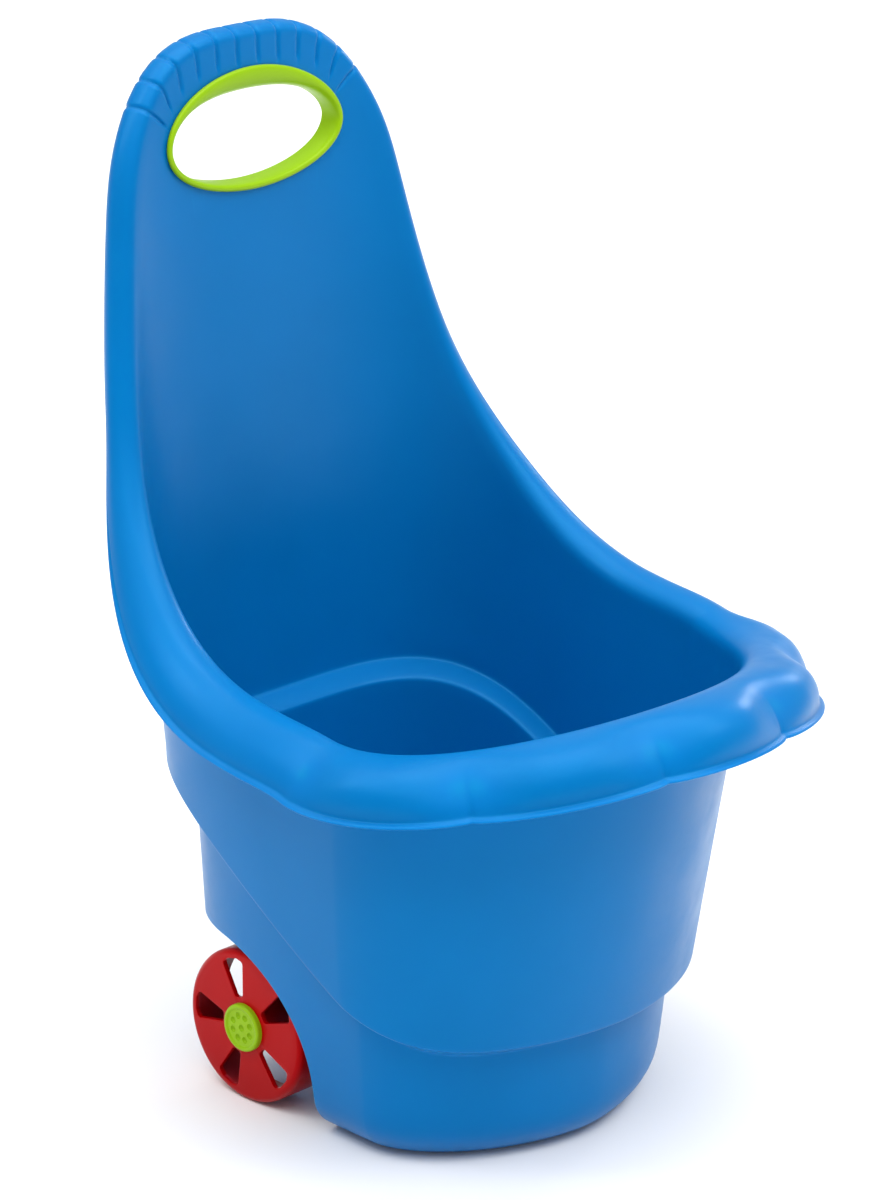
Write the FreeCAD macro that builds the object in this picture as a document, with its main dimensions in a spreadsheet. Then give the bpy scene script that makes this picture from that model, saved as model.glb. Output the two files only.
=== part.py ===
"""Child's garden cart: a one-piece plastic bucket with a tall back and a lined hand hole, on two wheels.

Frame: +Z up, the front of the bucket towards -Y, the handle towards +Y, the axle along X. The origin is on the
floor, under the middle of the cart. The tub is drawn about the line where its plan is widest, and every piece
is then moved along Y by the same amount, so that the origin comes under the middle. Millimetres and degrees.
"""

import FreeCAD, Part
import math
import os
from FreeCAD import Placement, Rotation, Vector

DIMENSIONS = {
    # the bucket's plan: half widths and reaches at the floor, and how much they grow for each mm of height
    "side_reach": 132.3, "side_draft": 0.072,
    "front_reach": 81.4, "front_draft": 0.178,
    "rear_reach": 175.0, "rear_draft": 0.085,
    "front_power": 1.85, "rear_power": 3.667,
    # the low wall's own plan at the floor; it meets the upper wall's plan, less the ledge, at the ledge
    "low_side": 115.8, "low_front": 81.3, "low_rear": 171.0, "low_power": 1.7,
    "wall": 3.0,
    # heights of the rim
    "rim_front": 279.3, "rim_corner": 265.2, "rim_side": 261.5, "rim_top": 600.0,
    # the rolled rim
    "lip_reach": 39.3, "lip_drop": 12.3, "lip_crest": 15.0, "back_lip": 8.3, "petal": 5.0, "bead": 1.6,
    # the ledge round the bucket, low in front and high at the rear
    "ledge_front": 80.7, "ledge_rear": 203.2, "ledge_start": -79.9, "ledge_end": 187.5,
    "ledge_width": 13.9, "ledge_fall": 7.0,
    "base_round": 25.0,
    # the wheel recess across the rear of the bucket's underside
    "recess_round": 79.0, "recess_line": 115.5, "recess_roof": 102.2,
    # the hand hole and its lining ring
    "hole_width": 131.2, "hole_rise": 31.4, "hole_fall": 30.9, "hole_drop": 50.6, "hole_power": 1.95, "hole_bend": 2.8,
    "flange": 4.5, "grip_swell": 7.0, "sleeve_wall": 2.4, "sleeve_depth": 14.0, "fit_gap": 0.3,
    # axle, wheels and what holds them
    "axle_line": 98.5, "axle_bore": 8.0, "axle_run": 0.08,
    "wheel_round": 95.0, "wheel_width": 28.0, "wheel_face": 114.6, "tread_wall": 3.0, "plate_wall": 3.0,
    "hub_round": 32.0, "socket_round": 24.0, "socket_deep": 9.0, "window_count": 5,
    "window_inner": 19.0, "window_outer": 40.0, "window_narrow": 7.0, "window_wide": 15.5, "window_turn": 16.0,
    "cap_round": 29.4, "cap_proud": 3.6, "cap_skirt": 6.0,
    "bracket_line": 77.5, "bracket_wall": 5.0, "boss_round": 24.0, "boss_long": 10.0,
    "washer_round": 18.0, "washer_wall": 1.6, "nut_round": 17.0, "nut_wall": 1.2,
}

STATIONS = 96        # columns round the tub's surfaces
RING_STATIONS = 48   # columns round the grip ring
NOTCHES = (-16.5, 16.5, 51.0, 85.5)   # plan angles of the notches between petals
# the rim's line: share of the way from front centre to top centre, plan angle, and the height's name or share
RIM_SHARES = (0.0, 0.16, 0.32, 0.47, 0.60, 0.75, 0.88, 1.0)
RIM_ANGLES = (0.0, 45.0, 90.0, 120.7, 141.3, 155.0, 163.1, 180.0)
BACK_RISE = (0.180, 0.409, 0.705, 0.872)   # heights of the back's four middle points, from rim_side to rim_top
RIM_END_SLOPE = 160.0
CREST_POWER = 2.5                          # how square the rim's inner corner is
BACK_STARTS, BACK_FULL = 0.30, 0.62        # where the wide petal rim turns into the round rim of the back

doc = FreeCAD.newDocument("garden_cart")
sheet = doc.addObject("Spreadsheet::Sheet", "Sizes")
for row, (name, value) in enumerate(DIMENSIONS.items(), start=1):
    sheet.set("A%d" % row, name)
    sheet.set("B%d" % row, str(value))
    sheet.setAlias("B%d" % row, name)
doc.recompute()


def size(name):
    """A driving dimension, read from the sheet."""
    return float(sheet.get(name))


# ---------------------------------------------------------------- smooth curves

def blend(value):
    """0 below 0, 1 above 1 and a smooth rise between."""
    value = min(max(value, 0.0), 1.0)
    return value * value * (3.0 - 2.0 * value)


def signed_power(value, power):
    return math.copysign(abs(value) ** power, value)


def spline(knots, values, first_slope, last_slope):
    """A cubic spline through the values, with the two end slopes given, as a function."""
    count = len(knots)
    steps = [knots[i + 1] - knots[i] for i in range(count - 1)]
    rises = [(values[i + 1] - values[i]) / steps[i] for i in range(count - 1)]
    upper, right = [0.0], [first_slope]
    for i in range(1, count - 1):
        left_weight, right_weight = steps[i], steps[i - 1]
        middle = 2.0 * (left_weight + right_weight) - left_weight * upper[-1]
        total = 3.0 * (left_weight * rises[i - 1] + right_weight * rises[i])
        right.append((total - left_weight * right[-1]) / middle)
        upper.append(right_weight / middle)
    slopes = [last_slope]
    for i in range(count - 2, -1, -1):
        slopes.insert(0, right[i] - upper[i] * slopes[0])

    def value_at(place):
        i = max(k for k in range(count - 1) if knots[k] <= place or k == 0)
        part = (place - knots[i]) / steps[i]
        start, end = values[i], values[i + 1]
        bend_in = slopes[i] * steps[i] - (end - start)
        bend_out = (end - start) - slopes[i + 1] * steps[i]
        straight = start + part * (end - start)
        return straight + part * (1.0 - part) * ((1.0 - part) * bend_in + part * bend_out)

    return value_at


# ---------------------------------------------------------------- the tub's walls

def plan_point(angle, height, side, depth, power):
    """A point of a rounded plan outline, at an angle from the front."""
    sine, cosine = math.sin(math.radians(angle)), math.cos(math.radians(angle))
    return Vector(side * signed_power(sine, 2.0 / power), -depth * signed_power(cosine, 2.0 / power), height)


def plan_sizes(angle, height):
    """The upper wall's half width, its reach to the front or the rear, and its power, at a height."""
    side = size("side_reach") + size("side_draft") * height
    if abs(angle) < 90.0:
        return side, size("front_reach") + size("front_draft") * height, size("front_power")
    return side, size("rear_reach") + size("rear_draft") * height, size("rear_power")


def wall_point(angle, height, inset=0.0):
    """A point on the bucket's outer wall, at a plan angle from the front, moved in by inset."""
    side, depth, power = plan_sizes(angle, height)
    return plan_point(angle, height, side - inset, depth - inset, power)


def back_wall_depth(across, height, inset=0.0):
    """How far behind the plan's widest line the rear wall lies, at a place across it."""
    side = size("side_reach") + size("side_draft") * height - inset
    depth = size("rear_reach") + size("rear_draft") * height - inset
    power = size("rear_power")
    return depth * (1.0 - abs(across / side) ** power) ** (1.0 / power)


def ledge_height(angle):
    """Height of the ledge's outer edge: level in front, rising towards the rear."""
    near = wall_point(angle, size("ledge_front") + 40.0).y
    share = (near - size("ledge_start")) / (size("ledge_end") - size("ledge_start"))
    return size("ledge_front") + (size("ledge_rear") - size("ledge_front")) * blend(share)


side_height, top_height = size("rim_side"), size("rim_top")
rim_heights = [size("rim_front"), size("rim_corner"), side_height]
rim_heights += [side_height + share * (top_height - side_height) for share in BACK_RISE] + [top_height]
rim_angle = spline(RIM_SHARES, RIM_ANGLES, RIM_ANGLES[1] / RIM_SHARES[1], RIM_END_SLOPE)
rim_height = spline(RIM_SHARES, rim_heights, 0.0, 0.0)


def wrapped(share):
    """A share of the rim brought back into -1 to 1."""
    return (share + 1.0) % 2.0 - 1.0


def rim_point(share):
    """A point on the rim's inner line; share runs from -1 (top, left) through 0 (front) to 1 (top, right)."""
    angle = math.copysign(rim_angle(abs(share)), share)
    return wall_point(angle, rim_height(abs(share)))


def petal_bulge(angle):
    """0 at the notches between petals, 1 at a petal's middle, and 0 past the last notch."""
    angle = abs(angle)
    for low, high in zip(NOTCHES[:-1], NOTCHES[1:]):
        if low <= angle < high:
            part = (angle - low) / (high - low)
            return math.sqrt(max(0.0, 4.0 * part * (1.0 - part)))
    return 0.0


class Station:
    """One column of the tub's surfaces: its place on the rim and the directions out of the wall and up it."""

    def __init__(self, share):
        step = 1.0e-3
        self.angle = math.copysign(rim_angle(abs(share)), share)
        self.height = rim_height(abs(share))
        self.rim = rim_point(share)
        along_plan = wall_point(self.angle + 0.1, self.height) - wall_point(self.angle - 0.1, self.height)
        self.turn_length = along_plan.Length / 0.2
        along_plan.normalize()
        self.out = Vector(along_plan.y, -along_plan.x, 0.0)
        along_rim = rim_point(wrapped(share + step)) - rim_point(wrapped(share - step))
        self.up = self.out.cross(along_rim).normalize()
        self.turn = along_plan.dot(self.up) / self.turn_length
        back = blend((abs(share) - BACK_STARTS) / (BACK_FULL - BACK_STARTS))
        wide = size("lip_reach") + size("petal") * petal_bulge(self.angle)
        self.reach = wide * (1.0 - back) + 2.0 * size("back_lip") * back
        self.drop = size("lip_drop") * (1.0 - back)
        self.crest = size("lip_crest") * (1.0 - back) + size("back_lip") * back

    def lip(self, outwards, upwards):
        return self.rim + self.out * outwards + self.up * upwards

    def below_rim(self, distance, inset):
        """A point on the wall, a distance from the rim measured square to it."""
        return wall_point(self.angle - distance * self.turn, self.height - distance * self.up.z, inset)

    def wall_between(self, share, inset, lift):
        """A point part of the way from the ledge (0) to the line just below the rim (1)."""
        angle = self.angle - LIP_FOOT * self.turn
        low = ledge_height(angle) + lift
        high = self.height - LIP_FOOT * self.up.z
        return wall_point(angle, low + share * (high - low), inset)


LIP_FOOT = 14.0     # how far below the rim, along the wall, the lip's part of the surface begins
stations = [Station(-1.0 + 2.0 * index / STATIONS) for index in range(STATIONS)]


def surface(rows):
    """A smooth surface, closed round the piece, drawn by rows of poles: each row runs round the piece."""
    poles = [list(column) for column in zip(*rows)]
    count, high = len(poles), len(rows)
    made = Part.BSplineSurface()
    made.buildFromPolesMultsKnots(poles, [1] * (count + 1), [4] + [1] * (high - 4) + [4],
                                  list(range(count + 1)), list(range(high - 2)), True, False, 3, 3)
    return made


def flat_lid(made, first):
    """The flat face that closes a surface at its first or last row."""
    low, high = made.bounds()[2:]
    edge = made.vIso(low if first else high).toShape()
    return Part.Face(Part.Wire([edge]))


def solid_from(faces):
    """One closed solid sewn from faces, the right way out."""
    shell = Part.makeShell(faces)
    shell.sewShape()
    solid = Part.Solid(shell)
    if solid.Volume < 0.0:
        solid.reverse()
    return solid


def low_point(angle, height, inset=0.0):
    """A point on the low wall, which runs from its own outline at the floor up to the ledge."""
    top = ledge_height(angle)
    share = min(height / top, 1.0)
    front = abs(angle) < 90.0
    low_sizes = (size("low_side"), size("low_front" if front else "low_rear"),
                 size("low_power" if front else "rear_power"))
    side, depth, power = plan_sizes(angle, top)
    high_sizes = (side - size("ledge_width"), depth - size("ledge_width"), power)
    side, depth, power = [low + share * (high - low) for low, high in zip(low_sizes, high_sizes)]
    return plan_point(angle, height, side - inset, depth - inset, power)


def low_rows(inset, round_radius, bottom, tops):
    """Rows from the flat bottom, round its edge and up the low wall to each of the given heights."""
    rows = []
    for turn in (90.0, 78.0, 60.0, 40.0, 20.0, 4.0):
        sine, cosine = math.sin(math.radians(turn)), math.cos(math.radians(turn))
        height = bottom + round_radius * (1.0 - sine)
        rows.append([low_point(s.angle, height, inset + round_radius * (1.0 - cosine)) for s in stations])
    flat = [low_point(s.angle, bottom, inset + round_radius + 1.0) for s in stations]
    rows.insert(0, flat)
    for row in rows[:2]:
        for point in row:
            point.z = bottom
    for top in tops:
        rows.append([low_point(s.angle, top(s), inset) for s in stations])
    return rows


def low_top(station, share, lift=0.0):
    """A height part of the way from the base's round to the underside of the ledge."""
    start = size("base_round") + size("wall")
    end = ledge_height(station.angle) - size("ledge_fall") + lift
    return start + share * (end - start)


def ledge_rows(inset, lift):
    """Rows round the ledge, from the top of the low wall to the foot of the upper wall."""
    width, fall = size("ledge_width"), size("ledge_fall")
    below = [[low_point(s.angle, ledge_height(s.angle) + lift - fall - down, inset) for s in stations]
             for down in (4.0, 1.5)]
    steps = ((-fall, width - 1.5), (-0.5 * fall, 0.5 * width), (-0.6, 1.2), (1.2, 0.0), (4.0, 0.0))
    return below + [[wall_point(s.angle, ledge_height(s.angle) + lift + up, inset + into) for s in stations]
                    for up, into in steps]


def upper_rows(inset, lift, shares):
    return [[s.wall_between(share, inset, lift) for s in stations] for share in shares]


def quarter(turns, centre, wide, tall, power=2.0):
    """Places on a quarter of an ellipse, or of a squarer curve of a higher power, as (out, up) pairs."""
    places = []
    for turn in turns:
        sine, cosine = math.sin(math.radians(turn)), math.cos(math.radians(turn))
        places.append((centre[0] + wide * signed_power(cosine, 2.0 / power),
                       centre[1] + tall * signed_power(sine, 2.0 / power)))
    return places


def lip_rows():
    """Rows up under the rim, round the hem's bead and back over the crest to the inner wall."""
    wall, bead = size("wall"), size("bead")
    sections = []
    for s in stations:
        under = quarter((180, 160, 140, 118, 92), (s.crest, 0.0), s.crest, s.crest - wall, CREST_POWER)
        under += quarter((70, 48, 28, 12), (s.crest, -s.drop), s.reach - wall - s.crest, s.crest + s.drop - wall)
        hem = [(s.reach - wall, -s.drop), (s.reach - wall, -s.drop - bead),
               (s.reach + 0.5 * bead, -s.drop - bead), (s.reach + bead, -s.drop + 0.4 * bead),
               (s.reach, -s.drop + 2.2 * bead)]
        over = quarter((14, 30, 50, 70, 88), (s.crest, -s.drop), s.reach - s.crest, s.crest + s.drop)
        over += quarter((105, 122, 140, 160, 180), (s.crest, 0.0), s.crest + wall, s.crest, CREST_POWER)
        sections.append([s.lip(*place) for place in under + hem + over])
    return [list(row) for row in zip(*sections)]


def tub_shell():
    """The moulding before its recess, brackets and hand hole: one wall-thick skin from base to rim to floor."""
    wall = size("wall")
    outer_low = low_rows(0.0, size("base_round"), 0.0,
                         [lambda s, k=k: low_top(s, k) for k in (0.05, 0.3, 0.6)])
    outer_high = [outer_low[-1]]
    outer_high += [[low_point(s.angle, low_top(s, 0.8)) for s in stations]]
    outer_high += ledge_rows(0.0, 0.0) + upper_rows(0.0, 0.0, (0.15, 0.4, 0.7, 0.9))
    outer_high.append([s.below_rim(LIP_FOOT, 0.0) for s in stations])
    lip = [outer_high[-1], [s.below_rim(6.0, 0.0) for s in stations]] + lip_rows()
    lip += [[s.below_rim(6.0, wall) for s in stations], [s.below_rim(LIP_FOOT, wall) for s in stations]]
    inner_low = low_rows(wall, size("base_round") - wall, wall,
                         [lambda s, k=k: low_top(s, k, wall) for k in (0.05, 0.3, 0.6)])
    inner_high = [inner_low[-1]]
    inner_high += [[low_point(s.angle, low_top(s, 0.8, wall), wall) for s in stations]]
    inner_high += ledge_rows(wall, wall) + upper_rows(wall, wall, (0.15, 0.4, 0.7, 0.9)) + [lip[-1]]
    skins = [surface(rows) for rows in (outer_low, outer_high, lip, inner_high, inner_low)]
    faces = [skin.toShape() for skin in skins]
    faces += [flat_lid(skins[0], True), flat_lid(skins[4], True)]
    return solid_from(faces)


def low_filling():
    """The low part of the bucket as a filled block, a little inside its outer skin."""
    top = size("recess_roof") + 3.0 * size("wall")
    inside = 0.4 * size("wall")
    rows = low_rows(inside, size("base_round"), 0.0,
                    [lambda s, k=k: k * top for k in (0.3, 0.6, 0.9, 1.0)])
    skin = surface(rows)
    return solid_from([skin.toShape(), flat_lid(skin, True), flat_lid(skin, False)])


# ---------------------------------------------------------------- the tub's cuts and brackets

def recess_block(grow):
    """The wheel recess's space: an upright front, a round corner and a flat roof, drawn in side view."""
    radius, diagonal = size("recess_round") + grow, math.sqrt(0.5)
    centre = Vector(0.0, size("recess_line"), size("recess_roof") - size("recess_round"))
    under, beyond = -10.0, size("rear_reach") + 120.0
    start, roof = centre + Vector(0.0, -radius, 0.0), centre + Vector(0.0, 0.0, radius)
    middle = centre + Vector(0.0, -radius * diagonal, radius * diagonal)
    foot = Vector(0.0, start.y, under)
    rear_top, rear_foot = Vector(0.0, beyond, roof.z), Vector(0.0, beyond, under)
    edges = [Part.LineSegment(foot, start).toShape(), Part.Arc(start, middle, roof).toShape(),
             Part.LineSegment(roof, rear_top).toShape(), Part.LineSegment(rear_top, rear_foot).toShape(),
             Part.LineSegment(rear_foot, foot).toShape()]
    face = Part.Face(Part.Wire(edges))
    reach = 2.0 * size("side_reach")
    face.translate(Vector(-reach, 0.0, 0.0))
    return face.extrude(Vector(2.0 * reach, 0.0, 0.0))


def bracket(side):
    """A tongue that hangs from the recess's roof round the axle, with a boss on it."""
    radius, half_top = 0.5 * size("boss_round") + 4.0, 38.0
    axle_height = 0.5 * size("wheel_round")
    rise = size("recess_roof") + 0.5 * size("wall") - axle_height
    slant = math.hypot(half_top, rise)
    turn = math.atan2(rise, half_top) + math.acos(radius / slant)
    across, up = -radius * math.cos(turn - math.pi) * -1.0, radius * math.sin(turn)
    axle = Vector(0.0, size("axle_line"), axle_height)
    touch = [axle + Vector(0.0, sign * abs(across), up) for sign in (1.0, -1.0)]
    top = [axle + Vector(0.0, sign * half_top, rise) for sign in (1.0, -1.0)]
    bottom = axle + Vector(0.0, 0.0, -radius)
    edges = [Part.LineSegment(top[0], touch[0]).toShape(), Part.Arc(touch[0], bottom, touch[1]).toShape(),
             Part.LineSegment(touch[1], top[1]).toShape(), Part.LineSegment(top[1], top[0]).toShape()]
    plate = Part.Face(Part.Wire(edges)).extrude(Vector(size("bracket_wall"), 0.0, 0.0))
    plate.translate(Vector(-0.5 * size("bracket_wall"), 0.0, 0.0))
    boss = Part.makeCylinder(0.5 * size("boss_round"), size("boss_long"),
                             axle - Vector(0.5 * size("boss_long"), 0.0, 0.0), Vector(1.0, 0.0, 0.0))
    made = plate.fuse(boss)
    made.translate(Vector(side * size("bracket_line"), 0.0, 0.0))
    return made


def hole_outline(turn, grow):
    """A place on the hand hole's outline, seen from the front: (across, height), grown outwards."""
    sine, cosine = math.sin(math.radians(turn)), math.cos(math.radians(turn))
    power = 2.0 / size("hole_power")
    wide = 0.5 * size("hole_width") + grow
    tall = (size("hole_rise") if sine > 0.0 else size("hole_fall")) + grow
    across = wide * signed_power(cosine, power)
    bend = size("hole_bend") * (2.0 * across / size("hole_width")) ** 2
    return across, size("rim_top") - size("hole_drop") + tall * signed_power(sine, power) - bend


def hole_block():
    """The hand hole's space, right through the back."""
    points = []
    for index in range(RING_STATIONS):
        across, height = hole_outline(360.0 * index / RING_STATIONS, 0.0)
        points.append(Vector(across, 0.5 * size("rear_reach"), height))
    outline = Part.BSplineCurve()
    outline.interpolate(points, PeriodicFlag=True)
    face = Part.Face(Part.Wire([outline.toShape()]))
    return face.extrude(Vector(0.0, size("rear_reach"), 0.0))


def make_tub():
    """The whole moulding."""
    shell = tub_shell()
    lined = recess_block(size("wall")).common(low_filling())
    body = shell.fuse(lined).cut(recess_block(0.0))
    for side in (-1.0, 1.0):
        body = body.fuse(bracket(side))
    bore = 0.5 * size("axle_bore") + 0.05
    axle_space = Part.makeCylinder(bore, 2.0 * size("side_reach"),
                                   Vector(-size("side_reach"), size("axle_line"), 0.5 * size("wheel_round")),
                                   Vector(1.0, 0.0, 0.0))
    return body.cut(axle_space).cut(hole_block())


# ---------------------------------------------------------------- the grip ring and its lock ring

def ring_solid(section):
    """A closed ring round the hand hole; section(turn) gives its loop in parts, as (out, forward) places."""
    skins = []
    for part in range(len(section(0.0))):
        columns = []
        for index in range(RING_STATIONS):
            turn = 360.0 * index / RING_STATIONS
            column = []
            for out, forward in section(turn)[part]:
                across, height = hole_outline(turn, out)
                depth = back_wall_depth(across, height, size("wall")) - forward
                column.append(Vector(across, depth, height))
            columns.append(column)
        skins.append(surface([list(row) for row in zip(*columns)]))
    return solid_from([skin.toShape() for skin in skins])


def grip_section(turn):
    """The grip ring: a rounded flange in front and a sleeve through the hole, fattest at the top."""
    flange, sleeve, deep = size("flange"), size("sleeve_wall"), size("sleeve_depth")
    gap, wall = size("fit_gap"), size("wall")
    swell = size("grip_swell") * max(0.0, math.sin(math.radians(turn))) ** 1.5
    inner = -sleeve - gap - swell
    edge, side, rear = (flange, gap), -gap, -deep
    front = [edge, (flange + 0.6, 1.2), (flange - 0.2, 3.2), (0.3, 4.2), (inner * 0.5, 3.4),
             (inner * 0.85, 0.4), (inner, -0.3 * deep), (inner, -0.7 * deep), (inner * 0.95, rear)]
    behind = [front[-1], (0.6 * inner, rear - 0.8), (side - 1.0, rear - 0.4), (side, rear + 1.5)]
    sleeve_side = [behind[-1], (side, 0.6 * rear), (side, 0.3 * rear), (side, gap)]
    seat = [sleeve_side[-1], (0.3 * flange, gap), (0.6 * flange, gap), edge]
    return front, behind, sleeve_side, seat


def lock_section(turn):
    """The lock ring behind the back, round the sleeve."""
    flange, gap = size("flange"), size("fit_gap")
    face, inner = -size("wall") - gap, 0.15
    seat = [(inner, face), (0.3 * flange, face), (0.6 * flange, face), (flange, face)]
    outside = [seat[-1], (flange + 0.5, face - 1.6), (flange - 0.6, face - 4.0), (1.6, face - 4.8),
               (inner, face - 4.2)]
    return seat, outside, [outside[-1], (inner, face - 2.8), (inner, face - 1.4), seat[0]]


# ---------------------------------------------------------------- building blocks with sizes bound to the sheet

def primitive(kind, name, sizes, along_x=None, side=1.0):
    """A Part primitive; sizes are expressions, along_x places its base at that distance out along the axle."""
    made = doc.addObject("Part::" + kind, name)
    for prop, expression in sizes.items():
        made.setExpression(prop, expression)
    if along_x is not None:
        made.Placement = Placement(Vector(0, 0, 0), Rotation(Vector(0, 1, 0), 90.0 * side))
        made.setExpression("Placement.Base.x", "%g * (%s)" % (side, along_x))
        made.setExpression("Placement.Base.y", "Sizes.axle_line")
        made.setExpression("Placement.Base.z", "Sizes.wheel_round / 2")
    return made


def cut(name, base, tool):
    made = doc.addObject("Part::Cut", name)
    made.Base, made.Tool = base, tool
    return made


def fuse(name, pieces):
    made = doc.addObject("Part::MultiFuse", name)
    made.Shapes = pieces
    return made


def shaped(name, shape):
    made = doc.addObject("Part::Feature", name)
    made.Shape = shape
    return made


def window(index, side):
    """One of the wheel's windows: narrow at the hub, wide at the rim, with rounded corners."""
    inner, outer = size("window_inner"), size("window_outer")
    narrow, wide = 0.5 * size("window_narrow"), 0.5 * size("window_wide")
    corners = [Vector(0, -narrow, inner), Vector(0, narrow, inner), Vector(0, wide, outer - 2.5),
               Vector(0, 0.45 * wide, outer), Vector(0, -0.45 * wide, outer), Vector(0, -wide, outer - 2.5)]
    deep = 4.0 * size("plate_wall")
    prism = Part.Face(Part.makePolygon(corners + corners[:1])).extrude(Vector(deep, 0, 0))
    prism = prism.makeFillet(0.36 * size("window_narrow"), [e for e in prism.Edges if abs(e.Length - deep) < 1e-6])
    prism.translate(Vector(-0.5 * deep, 0, 0))
    turn = 360.0 * index / size("window_count") - size("window_turn")
    prism.rotate(Vector(0, 0, 0), Vector(1, 0, 0), turn)
    prism.translate(Vector(side * size("wheel_face"), size("axle_line"), 0.5 * size("wheel_round")))
    return prism


def make_wheel(label, side):
    """A cup-shaped wheel: front plate with windows, tread wall behind it, and a hub with a socket in front."""
    tag = label + "_"
    inward = "Sizes.wheel_face - Sizes.wheel_width"
    tread = primitive("Cylinder", tag + "tread", {"Radius": "Sizes.wheel_round / 2",
                      "Height": "Sizes.wheel_width"}, inward, side)
    rounded = doc.addObject("Part::Fillet", tag + "rounded")
    rounded.Base = tread
    doc.recompute()
    rims = [(i + 1, 4.0 if abs(e.CenterOfMass.x) > size("wheel_face") - 1.0 else 1.2, 4.0 if
             abs(e.CenterOfMass.x) > size("wheel_face") - 1.0 else 1.2)
            for i, e in enumerate(tread.Shape.Edges) if len(e.Vertexes) == 1 or e.Closed]
    rounded.Edges = rims
    hollow = primitive("Cylinder", tag + "hollow", {"Radius": "Sizes.wheel_round / 2 - Sizes.tread_wall",
                       "Height": "Sizes.wheel_width - Sizes.plate_wall + 1"}, inward + " - 1", side)
    cup = cut(tag + "cup", rounded, hollow)
    hub = primitive("Cylinder", tag + "hub", {"Radius": "Sizes.hub_round / 2",
                    "Height": "Sizes.wheel_width - Sizes.plate_wall / 2 + 2"}, inward + " - 2", side)
    solid = fuse(tag + "solid", [cup, hub])
    socket = primitive("Cylinder", tag + "socket", {"Radius": "Sizes.socket_round / 2",
                       "Height": "Sizes.socket_deep + 1"}, "Sizes.wheel_face - Sizes.socket_deep", side)
    bore = primitive("Cylinder", tag + "bore", {"Radius": "Sizes.axle_bore / 2 + Sizes.axle_run",
                     "Height": "Sizes.wheel_width * 2"}, inward + " - 10", side)
    windows = shaped(tag + "windows", Part.makeCompound([window(i, side) for i in range(int(size("window_count")))]))
    spaces = fuse(tag + "spaces", [socket, bore])
    bored = cut(tag + "bored", solid, spaces)
    made = cut(tag + "made", bored, windows)
    made.Label = label
    return made


def make_cap(label, side):
    """A hub cap: a domed disc on the wheel's face, with a skirt that snaps into the hub's socket."""
    tag = label + "_"
    disc = primitive("Cylinder", tag + "disc", {"Radius": "Sizes.cap_round / 2", "Height": "Sizes.cap_proud"},
                     "Sizes.wheel_face", side)
    rounded = doc.addObject("Part::Fillet", tag + "rounded")
    rounded.Base = disc
    doc.recompute()
    rounded.Edges = [(i + 1, 1.6, 1.6) for i, e in enumerate(disc.Shape.Edges)
                     if (len(e.Vertexes) == 1 or e.Closed) and abs(e.CenterOfMass.x) > size("wheel_face") + 1.0]
    skirt = primitive("Cylinder", tag + "skirt", {"Radius": "Sizes.socket_round / 2 - 0.15",
                      "Height": "Sizes.cap_skirt + 1"}, "Sizes.wheel_face - Sizes.cap_skirt", side)
    inside = primitive("Cylinder", tag + "inside", {"Radius": "Sizes.socket_round / 2 - 1.9",
                       "Height": "Sizes.cap_skirt + 1"}, "Sizes.wheel_face - Sizes.cap_skirt - 0.2", side)
    made = cut(tag + "made", fuse(tag + "solid", [rounded, skirt]), inside)
    made.Label = label
    return made


def make_axle():
    """The steel rod: it ends inside the wheels' sockets."""
    reach = "(Sizes.wheel_face - Sizes.socket_deep + Sizes.nut_wall + 2.6)"
    rod = primitive("Cylinder", "rod", {"Radius": "Sizes.axle_bore / 2", "Height": "2 * " + reach},
                    "-1 * " + reach, 1.0)
    made = doc.addObject("Part::Chamfer", "chamfered_rod")
    made.Base = rod
    doc.recompute()
    made.Edges = [(i + 1, 0.6, 0.6) for i, e in enumerate(rod.Shape.Edges) if len(e.Vertexes) == 1 or e.Closed]
    made.Label = "axle"
    return made


def make_washer(label, side, outer, thick, place, bore):
    """A flat ring on the axle."""
    disc = primitive("Cylinder", label + "_disc", {"Radius": outer, "Height": thick}, place, side)
    hole = primitive("Cylinder", label + "_hole", {"Radius": bore, "Height": thick + " * 3"},
                     place + " - " + thick, side)
    made = cut(label + "_made", disc, hole)
    made.Label = label
    return made


# ---------------------------------------------------------------- the whole cart

tub = shaped("tub_shape", make_tub())
tub.Label = "tub"
grip_ring = shaped("grip_ring_shape", ring_solid(grip_section))
grip_ring.Label = "grip_ring"
lock_ring = shaped("lock_ring_shape", ring_solid(lock_section))
lock_ring.Label = "grip_lock_ring"
pieces = [tub, grip_ring, lock_ring, make_axle()]
for side_name, side in (("left", -1.0), ("right", 1.0)):
    pieces.append(make_wheel("wheel_" + side_name, side))
    pieces.append(make_cap("hub_cap_" + side_name, side))
    boss_end = "Sizes.bracket_line + Sizes.boss_long / 2"
    pieces.append(make_washer("spacer_" + side_name, side, "Sizes.washer_round / 2", "Sizes.washer_wall",
                              boss_end + " + 0.2", "Sizes.axle_bore / 2 + 0.06"))
    pieces.append(make_washer("push_nut_" + side_name, side, "Sizes.nut_round / 2", "Sizes.nut_wall",
                              "Sizes.wheel_face - Sizes.socket_deep + 0.3", "Sizes.axle_bore / 2"))

doc.recompute()
for thing in doc.Objects:
    if "Invalid" in thing.State or "Error" in thing.State:
        raise RuntimeError("%s failed: %s" % (thing.Name, thing.State))

whole = FreeCAD.BoundBox()
for piece in pieces:
    whole.add(piece.Shape.BoundBox)
middle = 0.5 * (whole.YMin + whole.YMax)

os.makedirs("parts", exist_ok=True)
for piece in pieces:
    shape = piece.Shape.copy()
    shape.translate(Vector(0.0, -middle, 0.0))
    if shape.isNull() or not shape.isValid() or not shape.Solids:
        raise RuntimeError(piece.Label + " is not a sound solid")
    shape.exportStep("parts/%s.step" % piece.Label)
    print("%-16s %2d solid(s) %12.1f mm3" % (piece.Label, len(shape.Solids), shape.Volume))
print("the plan's widest line lies %.3f mm from the origin" % -middle)
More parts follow.
